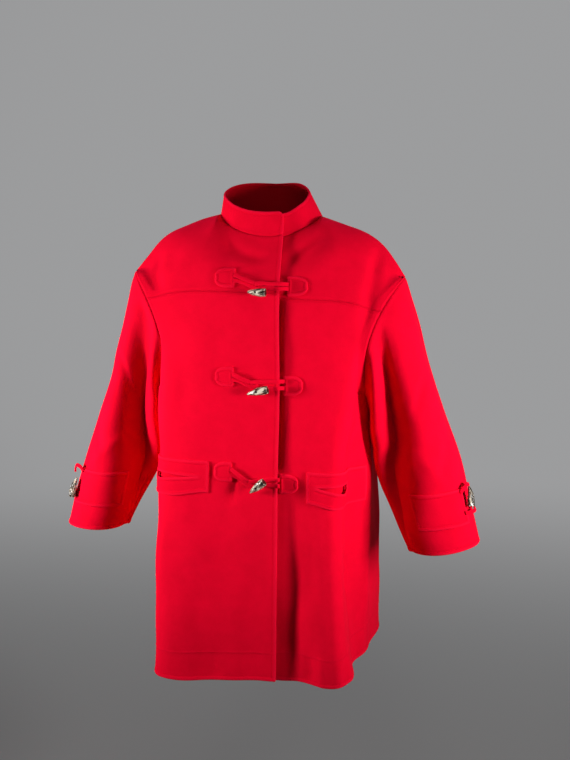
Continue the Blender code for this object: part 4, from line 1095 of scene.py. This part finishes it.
# ------------------------------------------------------------ places on the cloth
def surfaceNormal(across, down, outwards):
    # The direction square to two ways along the cloth, on the side of a third.
    normal = unit(np.cross(across, down))
    return normal * np.where(np.sum(normal * outwards, -1, keepdims=True) < 0, -1.0, 1.0)


def plainBody(side, share, z):
    # The front's middle layer without its creases.
    return lean(bodyPoint(side, False, share, z))


def shownBody(side, share, z):
    # The front's middle layer with its creases, and the direction out of it.
    step = 0.0015
    point = plainBody(side, share, z)
    across = plainBody(side, share + step, z) - plainBody(side, share - step, z)
    down = plainBody(side, share, z - step) - plainBody(side, share, z + step)
    normal = surfaceNormal(across, down, (point - np.array(bodyCentre)) * np.array([1, 1, 0]))
    push = bodyPush(point, normal, heldAt(share, z)) + unevenness(point)
    return point + normal * push[..., None], normal


def bodyNormal(side, share, z):
    # The direction out of the creased cloth, from steps along it.
    step = 0.003
    across = shownBody(side, share + step, z)[0] - shownBody(side, share - step, z)[0]
    down = shownBody(side, share, z - step)[0] - shownBody(side, share, z + step)[0]
    return surfaceNormal(across, down, shownBody(side, share, z)[1])


def onFront(side, x, z):
    # The point of a front at an x and a height, found by stepping towards it.
    x, z = np.broadcast_arrays(np.asarray(x, float), np.asarray(z, float))
    share, height = np.clip(x * side / 0.21 * 0.55, -0.9, 0.9), z + hang["lean"] * x
    for _ in range(16):
        point = shownBody(side, share, height)[0]
        slope = (shownBody(side, share + 0.004, height)[0][..., 0] - point[..., 0]) / 0.004
        slope = np.where(np.abs(slope) < 0.02, 0.02 * side, slope)
        share = np.clip(share + np.clip((x - point[..., 0]) / slope, -0.1, 0.1), -1.05, 1.0)
        height = height + (z - point[..., 2])
    return shownBody(side, share, height)[0], bodyNormal(side, share, height)


def shownSleeve(side, angle, share):
    # The sleeve's middle layer with its folds, and the direction out of the plain sleeve.
    point = lean(sleevePoint(side, angle, share))
    across = lean(sleevePoint(side, angle + 0.5, share)) - lean(sleevePoint(side, angle - 0.5, share))
    down = lean(sleevePoint(side, angle, share + 1e-3)) - lean(sleevePoint(side, angle, share - 1e-3))
    centre = lean(np.stack([side * sleeve(1, share), sleeve(2, share), sleeve(3, share)], -1))
    normal = surfaceNormal(across, down, point - centre)
    return point + sleevePush(side, angle, share, normal) + normal * unevenness(point)[..., None], normal


# ------------------------------------------------------------ pockets
# Pocket cloth: height, margins in share and height, depth behind the front, its slack and fold.
pocketBag = {
    "drop": 0.17, "inner": 0.01, "outer": 0.03, "top": 0.008, "behind": 0.0028,
    "slack": (0.0002, 0.0006), "fold": 0.001, "foldAt": 0.40, "foldWidth": 0.05,
}
for side in (right, left):
    name = sideName[side]
    top = pocketTop(side)
    inner, slitFrom, slitTo = pocketPlaces[side]
    shares = inner + (pocket["outer"] - inner) * spread(pocket["length"])
    inSlit = slitFrom + (slitTo - slitFrom) * np.linspace(0, 1, 49)
    shares = shares[(shares < inSlit[0] - 0.004) | (shares > inSlit[-1] + 0.004)]
    shares = np.unique(np.concatenate([shares, inSlit]))
    upper, lower, along = lipHeights(side, shares)
    deeper = (pocket["depth"] - pocket["innerDepth"]) * smooth((shares - inner) / pocket["depthOver"])
    bottom = top - pocket["innerDepth"] - deeper
    first = upper[None] + (top - upper)[None] * (1 - spread(0.030)[:, None])
    last = lower[None] + (bottom - lower)[None] * spread(0.034)[:, None]
    z = np.concatenate([first, last])
    share = np.broadcast_to(shares, z.shape)
    point, normal = shownBody(side, share, z)[0], bodyNormal(side, share, z)
    # The lower lip falls open a little and the upper one bridges it.
    middle, width = pocket["gapeAt"]
    fall = bell(along[None] - middle, width) * np.where(z < (upper + lower)[None] / 2, 1.0, 0.25)
    fall = fall * bell(z - lower[None], pocket["gapeHeight"]) * pocket["gape"]
    grid = point + normal * (2 * melton["half"] + pocket["lift"] + fall)[..., None]
    normal = gridNormals(grid, bodyCentre)
    keep = np.ones((grid.shape[0] - 1, grid.shape[1] - 1), bool)
    middle = (along[:-1] + along[1:]) / 2
    keep[len(first) - 1] = (middle < 0.0) | (middle > 1.0)
    # Beads and grooves run beside the lips, by distance from the slit.
    above = (np.arange(len(z)) < len(first))[:, None, None]
    gapRun = np.linalg.norm(grid - np.where(above, grid[len(first) - 1], grid[len(first)]), axis=-1)
    atSlit = smooth((along[None] + 0.03) / 0.05) * smooth((1.05 - along[None]) / 0.05)
    bead = (1 - smooth((gapRun - 0.003) / 0.0025)) * atSlit
    groove = bell(gapRun - pocket["slitStitch"], 0.0012) * atSlit
    high, low, wearAndShade = wallOffsets(grid, allFree)
    high = high + melton["edge"] * 1.1 * bead - melton["groove"] * groove
    low = low - melton["edge"] * 0.4 * bead
    wearAndShade = np.maximum(wearAndShade, bell(gapRun, 0.003) * atSlit)
    item = clothWall("cloth_pocket_frame_" + name, grid, normal, high, low, wearAndShade, paints["cloth"], keep)
    declare(item, "pocket_frame_" + name)
    outer = grid + normal * high[..., None]
    far = pocket["stitch"]
    lines = [lineAt(outer, normal, edge, far, (far, far)) for edge in ("bottom", "low")]
    lines.append(lineAt(outer[:len(first)], normal[:len(first)], "top", far, (far, far)))
    slitColumns = (along > -0.01) & (along < 1.01)
    for part, edge in ((slice(0, len(first)), "bottom"), (slice(len(first), len(z)), "top")):
        lines.append(lineAt(outer[part][:, slitColumns], normal[part][:, slitColumns], edge,
                            pocket["slitStitch"]))
    ridePlain(stitches("stitches_pocket_frame_" + name, lines, paints["thread"]))
    # The pocket's cloth hangs behind the slit, with one soft upright fold, painted darker as painted shade.
    shares = np.linspace(inner + pocketBag["inner"], pocket["outer"] - pocketBag["outer"], 44)
    z = np.linspace(top - pocketBag["top"], top - pocketBag["drop"], 40)[:, None] + 0 * shares[None]
    share = np.broadcast_to(shares, z.shape)
    point, normal = shownBody(side, share, z)[0], bodyNormal(side, share, z)
    down = (top - z) / pocketBag["drop"]
    across = (shares - shares[0]) / (shares[-1] - shares[0])
    least, slack = pocketBag["slack"]
    depth = least + slack * smooth(down / 0.18) * smooth((1 - down) / 0.2)
    depth = depth * (smooth(across / 0.12) * smooth((1 - across) / 0.12))[None] + pocketBag["behind"]
    fold = pocketBag["fold"] * bell(across - pocketBag["foldAt"], pocketBag["foldWidth"])
    depth = depth + fold[None] * smooth(down / 0.25) * smooth((1 - down) / 0.3)
    grid = point - normal * depth[..., None]
    flat = np.full(grid.shape[:2], melton["half"] * 0.7)
    item = clothWall("cloth_pocket_bag_" + name, grid, gridNormals(grid, bodyCentre), flat, -flat,
                     flat * 0, paints["inside"])
    declare(item, "pocket_bag_" + name)
print("pockets made")

# ------------------------------------------------------------ fastenings
patch = {"height": 0.035, "lift": 0.0002, "bulge": 0.0007, "stitch": 0.0040, "trim": 0.0034,
         "ridge": 0.0012, "ridgeAt": 0.0045, "ridgeWidth": 0.003}
patchOutline = np.array([(0.0, 1.0), (0.25, 1.0), (0.5, 0.985), (0.7, 0.90), (0.86, 0.74), (0.95, 0.56),
                         (1.0, 0.34)])
# Front fastenings: height, how much lower the left patch lies, toggle tip and butt (x and z from
# the height), how far the toggle bends, where the strands meet, the lower strand's end, then the
# two patches: how far the straight end is from the middle, its width, half the distance of its
# strands, their height.
fastenings = (
    {"z": -0.127, "leftDrop": 0.0172, "tip": (-0.025, -0.030), "butt": (0.014, -0.031), "bend": 0.0030,
     "meet": (-0.0105, -0.0128), "lowerEnd": -0.0205,
     right: (0.0535, 0.036, 0.0048, 0.0), left: (0.0530, 0.037, 0.0043, -0.0012)},
    {"z": -0.320, "leftDrop": 0.0172, "tip": (-0.024, -0.033), "butt": (0.019, -0.0235), "bend": -0.0030,
     "meet": (-0.0180, -0.0107), "lowerEnd": -0.0225,
     right: (0.0540, 0.033, 0.0050, 0.0), left: (0.0475, 0.035, 0.0066, 0.0020)},
    {"z": -0.5075, "leftDrop": 0.0225, "tip": (-0.0167, -0.039), "butt": (0.0138, -0.0143), "bend": 0.0,
     "meet": (-0.0190, -0.0175), "lowerEnd": -0.0225,
     right: (0.0560, 0.032, 0.0054, 0.001), left: (0.0410, 0.034, 0.0058, 0.0045)},
)
# Strap: section, and how far its middle stands off the cloth where it lies low and high.
strap = {"width": 0.0080, "thick": 0.0036, "low": 0.0038, "high": 0.0066, "end": 0.0018, "sides": 14}
horn = {
    "radius": 0.0078, "holeAt": 0.50, "hole": 0.0023, "holeDepth": 0.0042, "buttOff": 0.0195,
    "tipOff": 0.0105, "buttRound": 0.0012, "tipRound": 0.0022, "flat": 0.90, "rings": 72, "sides": 64,
    # Share of the length, share of the radius, bow.
    "profile": ((0.0, 0.95, 0.0), (0.10, 1.0, 0.0), (0.35, 0.97, 0.001), (0.60, 0.76, 0.0016),
                (0.80, 0.50, 0.001), (0.93, 0.29, 0.0), (1.0, 0.20, -0.001)),
    # Nicks of the horn: depth, waves round it and their start, waves along it and their start.
    "nicks": ((0.00022, 5, 1.3, 17, 0.0), (0.00015, 9, 0.0, 31, 2.0)),
}


def tubeFaces(count, sides):
    # Squares between the rings of a tube, and one flat face at each end.
    k = np.arange(sides)
    row = np.arange(count - 1)[:, None] * sides
    quads = np.stack([row + k, row + (k + 1) % sides, row + sides + (k + 1) % sides, row + sides + k], -1)
    ends = [k.tolist(), (k[::-1] + (count - 1) * sides).tolist()]
    return quads[..., ::-1].reshape(-1, 4).tolist() + ends


def sweep(name, stops, normals, count=72):
    # A flat strap: a rounded oblong carried along a smooth curve through the stops, with its
    # ends rounded off.
    stops, normals, sides = np.array(stops), np.array(normals), strap["sides"]
    length = lengthAlong(stops)
    wanted = np.linspace(0.0, length[-1], count)
    path = np.stack([spline(length, stops[:, k], wanted) for k in range(3)], -1)
    normal = unit(np.stack([spline(length, normals[:, k], wanted) for k in range(3)], -1))
    along = unit(np.gradient(path, axis=0))
    across = unit(np.cross(along, normal))
    out = unit(np.cross(across, along))
    turns = np.linspace(0, 2 * np.pi, sides, endpoint=False)
    cosine, sine = np.cos(turns), np.sin(turns)
    flatX = np.sign(cosine) * np.abs(cosine)**0.5 * strap["width"] / 2
    flatY = np.sign(sine) * np.abs(sine)**0.6 * strap["thick"] / 2
    toEnd = np.clip(np.minimum(wanted, wanted[-1] - wanted) / strap["end"], 0.02, 1)
    ends = np.sqrt(1 - (1 - toEnd)**2)
    ring = (across[:, None] * (flatX[None, :, None] * (0.55 + 0.45 * ends)[:, None, None])
            + out[:, None] * (flatY[None, :, None] * ends[:, None, None]))
    wearAndShade = bell(np.abs(flatX) - strap["width"] / 2, 0.001)
    return makeMesh(name, (path[:, None] + ring).reshape(-1, 3), tubeFaces(count, sides), paints["cloth"],
                    {"wearAndShade": np.tile(wearAndShade, count), "inside": np.zeros(count * sides)})


def onLap(stops):
    # Either front, whichever lies on top, as far as the right one's edge.
    x, z, lift = np.array(stops, float).T
    edge = lap[right] - 0.002
    onLeft = (x > lap[right] + 0.006)[:, None]
    leftPoint, leftNormal = onFront(left, np.maximum(x, lap[right]), z)
    rightPoint, rightNormal = onFront(right, np.minimum(x, edge), z)
    rightPoint[:, 0] += np.maximum(x - edge, 0.0)
    normal = np.where(onLeft, leftNormal, rightNormal)
    return np.where(onLeft, leftPoint, rightPoint) + normal * lift[:, None], normal


def toggle(name, butt, tip, out, bend, node):
    # Horn: round rings from a flat butt to a blunt tip, flattened a little, bowed, with a hole
    # through the middle made as a dimple on both sides and painted black as painted shade.
    butt, tip, out = (np.array(a, float) for a in (butt, tip, out))
    share = np.concatenate([np.linspace(0, 0.03, 9)[:-1], np.linspace(0.03, 0.97, horn["rings"] - 16),
                            np.linspace(0.97, 1, 9)[1:]])
    profile = np.array(horn["profile"])
    radius = spline(profile[:, 0], profile[:, 1], share) * horn["radius"]
    bow = spline(profile[:, 0], profile[:, 2], share)
    length = np.linalg.norm(tip - butt)
    fromButt, fromTip = share * length, (1 - share) * length
    for away, over in ((fromButt, horn["buttRound"]), (fromTip, horn["tipRound"])):
        radius = radius * np.sqrt(1 - (1 - np.clip(away / over, 0, 1))**2 * 0.9999)
    way = unit(tip - butt)
    across = unit(np.cross(way, out))
    outWay = np.cross(across, way)
    turns = np.linspace(0, 2 * np.pi, horn["sides"], endpoint=False)
    ringX = np.cos(turns)[None] * radius[:, None]
    ringY = np.sin(turns)[None] * radius[:, None] * horn["flat"] + bow[:, None]
    alongLine = fromButt[:, None] - horn["holeAt"] * length + 0 * ringX
    hole = 1 - smooth((np.hypot(alongLine, ringX) - horn["hole"] * 0.62) / (horn["hole"] * 0.5))
    ringY = ringY - np.sign(ringY) * hole * horn["holeDepth"]
    nicks = sum(depth * np.sin(turns * around + start)[None] * np.sin(share * along + offset)[:, None]
                for depth, around, start, along, offset in horn["nicks"])
    swell = 1 + nicks / horn["radius"] * 1.6
    bent = bend * (share**2 - share * 0.6)[:, None]
    points = (butt + way * fromButt[:, None, None] + across * (ringX * swell + bent)[..., None]
              + outWay * (ringY * swell)[..., None])
    # The hole's dimple is painted black as painted shade. The flat butt is black inside a pale rim, with a
    # dark band behind it.
    buttDark = 0.97 * (1 - smooth((fromButt - 0.0004) / 0.0003)) + 0.5 * bell(fromButt - 0.0032, 0.0011)
    holeShadeAndButt = np.maximum(smooth(hole * 1.5), buttDark[:, None])
    item = makeMesh(name, points.reshape(-1, 3), tubeFaces(len(share), horn["sides"]), paints["horn"],
                    {"holeShadeAndButt": holeShadeAndButt.ravel()})
    # The pattern runs along the horn and starts elsewhere on each one.
    uv = np.stack([np.broadcast_to(np.sin(turns)[None] * 0.5, ringX.shape),
                   alongLine / 0.04 + 0.3 * np.cos(turns)[None]], -1).reshape(-1, 2)
    uv[:, 0] += (abs(butt[0]) * 37 + abs(butt[2]) * 11) % 5
    loops = np.empty(len(item.data.loops), np.int32)
    item.data.loops.foreach_get("vertex_index", loops)
    item.data.uv_layers.new(name="horn").data.foreach_set("uv", uv[loops].ravel().astype(np.float32))
    item.data.shade_smooth()
    ridePlain(item)
    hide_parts(node)


for number, row in enumerate(fastenings, start=1):
    z = row["z"]
    for side, name in sideName.items():
        middle = z - (row["leftDrop"] if side == left else 0.0)
        inner, width = row[side][:2]
        along = spread(width)
        up = (1 - 2 * spread(patch["height"]))[:, None]
        size = spline(patchOutline[:, 0], patchOutline[:, 1], along)
        height = middle + up * size[None] * patch["height"] / 2
        x = np.broadcast_to(side * (inner + width * along), height.shape)
        point, normal = onFront(side, x, height)
        bulge = patch["bulge"] * (1 - (2 * along - 1)**2)[None] * (1 - up**2)
        grid = point + normal * (2 * melton["half"] + patch["lift"] + bulge)[..., None]
        high, low, wearAndShade = wallOffsets(grid, allFree)
        normal = gridNormals(grid, bodyCentre)
        # Over the strands the patch's straight end stands up in a ridge.
        ridge = bell(along * width - patch["ridgeAt"], patch["ridgeWidth"])[None] * (1 - np.abs(up)**4)
        high = high + ridge * patch["ridge"]
        item = clothWall("cloth_patch_%s_%d" % (name, number), grid, normal, high, low, wearAndShade, paints["cloth"])
        declare(item, "patch_%s_%d" % (name, number))
        outer = grid + normal * high[..., None]
        trim = (patch["trim"], patch["trim"])
        lines = [lineAt(outer, normal, edge, patch["stitch"], trim) for edge in allFree]
        ridePlain(stitches("stitches_patch_%s_%d" % (name, number), lines, paints["thread"]))
    (tipX, tipZ), (buttX, buttZ), lowerEnd = row["tip"], row["butt"], z + row["lowerEnd"]
    low, high = strap["low"], strap["high"]
    meetX, meetZ = row["meet"][0], z + row["meet"][1]
    # The loop leaves its patch in two strands that run straight to the toggle and turn behind it.
    start, apart, level = -row[right][0] - 0.001, row[right][2], z + row[right][3]
    first, last = level + apart, level - apart
    loop = [
        (start, first, low), (start + 0.005, first * 0.88 + meetZ * 0.12, low + 0.0022),
        ((start + meetX) / 2, first * 0.46 + meetZ * 0.54, low + 0.0034),
        (meetX - 0.003, meetZ + 0.0014, low + 0.0028), (meetX + 0.008, meetZ - 0.002, low),
        (meetX + 0.012, meetZ - 0.006, low), (meetX + 0.007, meetZ - 0.009, low),
        (meetX - 0.005, meetZ - 0.0055, low),
        ((start + meetX) / 2, last * 0.52 + (meetZ - 0.004) * 0.48, low), (start, last, low),
    ]
    # The left front's strands run side by side, the upper one over the loop's turn and the
    # lower one to the toggle's butt.
    reach, apart, level = row[left][0] + 0.001, row[left][2], z - row["leftDrop"] + row[left][3]
    first, last, edge = level + apart, level - apart, lap[right]
    middle = (edge + buttX) / 2
    upper = [
        (reach, first, low), (reach - 0.004, first, low + 0.0028),
        (edge - 0.002, first + 0.0004, low + 0.0022), (middle, first + 0.0002, low + 0.0018),
        (buttX * 0.7 + meetX * 0.3, first * 0.4 + (meetZ + 0.0012) * 0.6, high),
        (meetX + 0.009, meetZ + 0.0006, high + 0.0004), (meetX, meetZ - 0.0014, high),
    ]
    lower = [
        (reach, last, low), (reach - 0.004, last, low + 0.0028),
        (edge - 0.002, last + 0.0004, low + 0.0022), (middle, last * 0.6 + lowerEnd * 0.4, low + 0.0018),
        (buttX + 0.002, lowerEnd, high), (buttX - 0.010, lowerEnd - 0.001, high),
    ]
    for part, route, solid, kind, count in (
            ("loop", loop, "loop_right", "loop", 110), ("upper", upper, "strap_left_upper", "strap", 72),
            ("lower", lower, "strap_left_lower", "strap", 72)):
        item = sweep("strap_%s_%d" % (part, number), *onLap(route), count)
        declare(item, "%s_%d" % (solid, number))
    spots, outs = onLap([(buttX, z + buttZ, horn["buttOff"]), (tipX, z + tipZ, horn["tipOff"])])
    toggle("horn_toggle_%d" % number, spots[0], spots[1], outs[0], row["bend"], "toggle_%d" % number)
print("fastenings made")

# ------------------------------------------------------------ cuffs
# The tab runs from an angle (top and bottom of its end) to another; its top slopes outwards.
tab = {
    right: {"from": (117.0, 131.0), "slope": 0.02, "top": -0.542},
    left: {"from": (116.0, 117.0), "slope": 0.19, "top": -0.541},
    "to": 37.0, "length": 0.102, "height": 0.069, "lift": 0.0004, "stitch": 0.0045, "secondStitch": 0.0095,
}
# Toggle ends and strands of each cuff: angle, share of the tab's height, and stand-off.
cuff = {
    right: {"butt": (41.0, 0.90), "tip": (39.0, 0.29), "bend": 0.002, "strands": {
        "upper": ((43.0, 0.07, 0.0020), (37.0, -0.04, 0.0080), (31.0, -0.05, 0.0130),
                  (27.0, 0.06, 0.0130), (28.0, 0.18, 0.0110)),
        "lower": ((43.0, 0.70, 0.0020), (37.0, 0.72, 0.0010), (31.0, 0.70, 0.0010),
                  (26.0, 0.66, 0.0010))}},
    left: {"butt": (32.0, 0.57), "tip": (25.0, -0.03), "bend": 0.0, "strands": {
        "upper": ((42.0, 0.10, 0.0020), (36.0, -0.02, 0.0070), (29.0, -0.09, 0.0100),
                  (22.0, -0.01, 0.0080)),
        "lower": ((42.0, 0.70, 0.0020), (33.0, 0.72, 0.0070), (24.0, 0.70, 0.0100),
                  (17.0, 0.58, 0.0050))}},
    "strandLift": 0.0006, "toggleLift": 0.0010,
}


def shareAt(side, angle, down):
    # Share of the sleeve's length where a point of the tab lies, read off a fine run of rings.
    shares = np.linspace(0.5, 1.0, 201)
    points = sleevePoint(side, angle.ravel()[:, None], shares[None])
    slope = tab[side]["slope"] * (np.abs(points[..., 0]) - sleeveRows[-1, 1]) - points[..., 2]
    wanted = tab["height"] * down.ravel() - tab[side]["top"]
    i = np.clip(np.sum(slope < wanted[:, None], axis=1) - 1, 0, len(shares) - 2)
    rows = np.arange(len(i))
    t = (wanted - slope[rows, i]) / (slope[rows, i + 1] - slope[rows, i])
    return (shares[i] + t * (shares[i + 1] - shares[i])).reshape(angle.shape)


def onSleeve(side, angle, down, lift):
    # A point over the sleeve, and the direction out of it there.
    angle, down = np.broadcast_arrays(np.asarray(angle, float), np.asarray(down, float))
    point, normal = shownSleeve(side, angle, shareAt(side, angle, down))
    return point + normal * np.asarray(lift)[..., None], normal


for side in (right, left):
    name, own = sideName[side], cuff[side]
    downs = spread(tab["height"])
    upperAngle, lowerAngle = tab[side]["from"]
    fromAngle = (upperAngle + (lowerAngle - upperAngle) * downs)[:, None]
    angles = fromAngle + (tab["to"] - fromAngle) * spread(tab["length"])[None]
    grid = onSleeve(side, angles, downs[:, None], 2 * melton["half"] + tab["lift"])[0]
    normal = gridNormals(grid, (side * 0.345, -0.04, -0.60))
    high, low, wearAndShade = wallOffsets(grid, allFree)
    item = clothWall("cloth_cuff_tab_" + name, grid, normal, high, low, wearAndShade, paints["cloth"])
    declare(item, "cuff_tab_" + name)
    outer = grid + normal * high[..., None]
    lines = [lineAt(outer, normal, edge, far, (far, far)) for edge, far in (
        ("top", tab["stitch"]), ("bottom", tab["stitch"]), ("low", tab["stitch"]),
        ("bottom", tab["secondStitch"]))]
    ridePlain(stitches("stitches_cuff_tab_" + name, lines, paints["thread"]))
    # Each strand leaves the tab, stands off the sleeve and hooks round an end of the toggle.
    low = melton["half"] + cuff["strandLift"] + strap["thick"] / 2
    for strand, stops in own["strands"].items():
        angle, down, lift = np.array(stops).T
        item = sweep("strap_cuff_%s_%s" % (strand, name), *onSleeve(side, angle, down, low + lift))
        declare(item, "cuff_loop_%s_%s" % (strand, name))
    lift = melton["half"] + cuff["toggleLift"] + strap["thick"] + horn["radius"]
    butt, out = onSleeve(side, *own["butt"], lift)
    tip = onSleeve(side, *own["tip"], lift)[0]
    toggle("horn_cuff_toggle_" + name, butt, tip, out, own["bend"], "cuff_toggle_" + name)
print("cuffs made")

# ------------------------------------------------------------ floor, light and world
studio = {
    "floorZ": -1.75, "floorHalf": 60.0, "floorColour": (0.80, 0.80, 0.80, 1), "fade": (0.5, 6.0),
    "grey": (0.98, 0.985, 1.0, 1), "level": (0.07, 0.34), "levelOver": (0.2, 0.95), "spread": 90.0,
    # Lamps: place, target, size, energy, colour.
    "lamps": {
        "leftLamp": ((-1.30, -0.61, -0.30), (0.0, -0.05, -0.38), (0.30, 0.40), 7.4, (1, 0.99, 0.97)),
        "rightLamp": ((1.30, -0.61, -0.30), (0.0, -0.05, -0.38), (0.30, 0.40), 6.2, (1, 0.99, 0.97)),
        "topLamp": ((0.0, -0.55, 0.75), (0.0, -0.05, -0.15), (0.8, 0.5), 0.5, (1, 1, 1)),
    },
}


def rise(tree, value, span, result=(0.0, 1.0)):
    # A smooth step between two results while the value crosses a span.
    return addNode(tree, "MapRange", {"Value": value, "From Min": span[0], "From Max": span[1],
                                   "To Min": result[0], "To Max": result[1]},
                interpolation_type="SMOOTHSTEP").outputs["Result"]


def skyStrength(tree, coordinates):
    # The surroundings are pale behind the coat and darker in front of it.
    place = addNode(tree, "TexCoord", {}).outputs[coordinates]
    way = addNode(tree, "VectorMath", {0: place}, operation="NORMALIZE").outputs["Vector"]
    parts = addNode(tree, "SeparateXYZ", {"Vector": way})
    return rise(tree, parts.outputs["Y"], studio["levelOver"], studio["level"])


half, floorZ = studio["floorHalf"], studio["floorZ"]
floorMesh = bpy.data.meshes.new("floor")
floorMesh.from_pydata([(-half, -half, floorZ), (half, -half, floorZ), (half, half, floorZ),
                       (-half, half, floorZ)], [], [(0, 1, 2, 3)])
floor = bpy.data.objects.new("floor", floorMesh)
bpy.context.scene.collection.objects.link(floor)
# The floor is matt near the coat and fades with distance into the light around it.
floorPaint, tree, shader = newMaterial("floor")
feed(tree, shader, {"Base Color": studio["floorColour"], "Roughness": 0.95, "Specular IOR Level": 0.0})
place = addNode(tree, "TexCoord", {}).outputs["Object"]
far = addNode(tree, "VectorMath", {0: place}, operation="LENGTH").outputs["Value"]
glow = addNode(tree, "Emission", {"Color": studio["grey"], "Strength": skyStrength(tree, "Object")})
faded = addNode(tree, "MixShader", {0: rise(tree, far, studio["fade"]), 1: shader.outputs["BSDF"],
                                 2: glow.outputs["Emission"]})
tree.links.new(faded.outputs["Shader"], tree.nodes["Material Output"].inputs["Surface"])
floorMesh.materials.append(floorPaint)

world = bpy.data.worlds.new("studio")
bpy.context.scene.world = world
world.use_nodes = True
tree = world.node_tree
feed(tree, tree.nodes["Background"], {"Color": studio["grey"], "Strength": skyStrength(tree, "Generated")})

for name, (place, target, size, energy, colour) in studio["lamps"].items():
    data = bpy.data.lights.new(name, "AREA")
    data.shape = "RECTANGLE"
    data.size, data.size_y = size
    data.energy, data.color = energy, colour
    data.spread = math.radians(studio["spread"])
    lamp = bpy.data.objects.new(name, data)
    lamp.location = place
    lamp.rotation_euler = (Vector(target) - Vector(place)).to_track_quat("-Z", "Y").to_euler()
    lamp.visible_camera = False
    bpy.context.scene.collection.objects.link(lamp)
print("studio made")
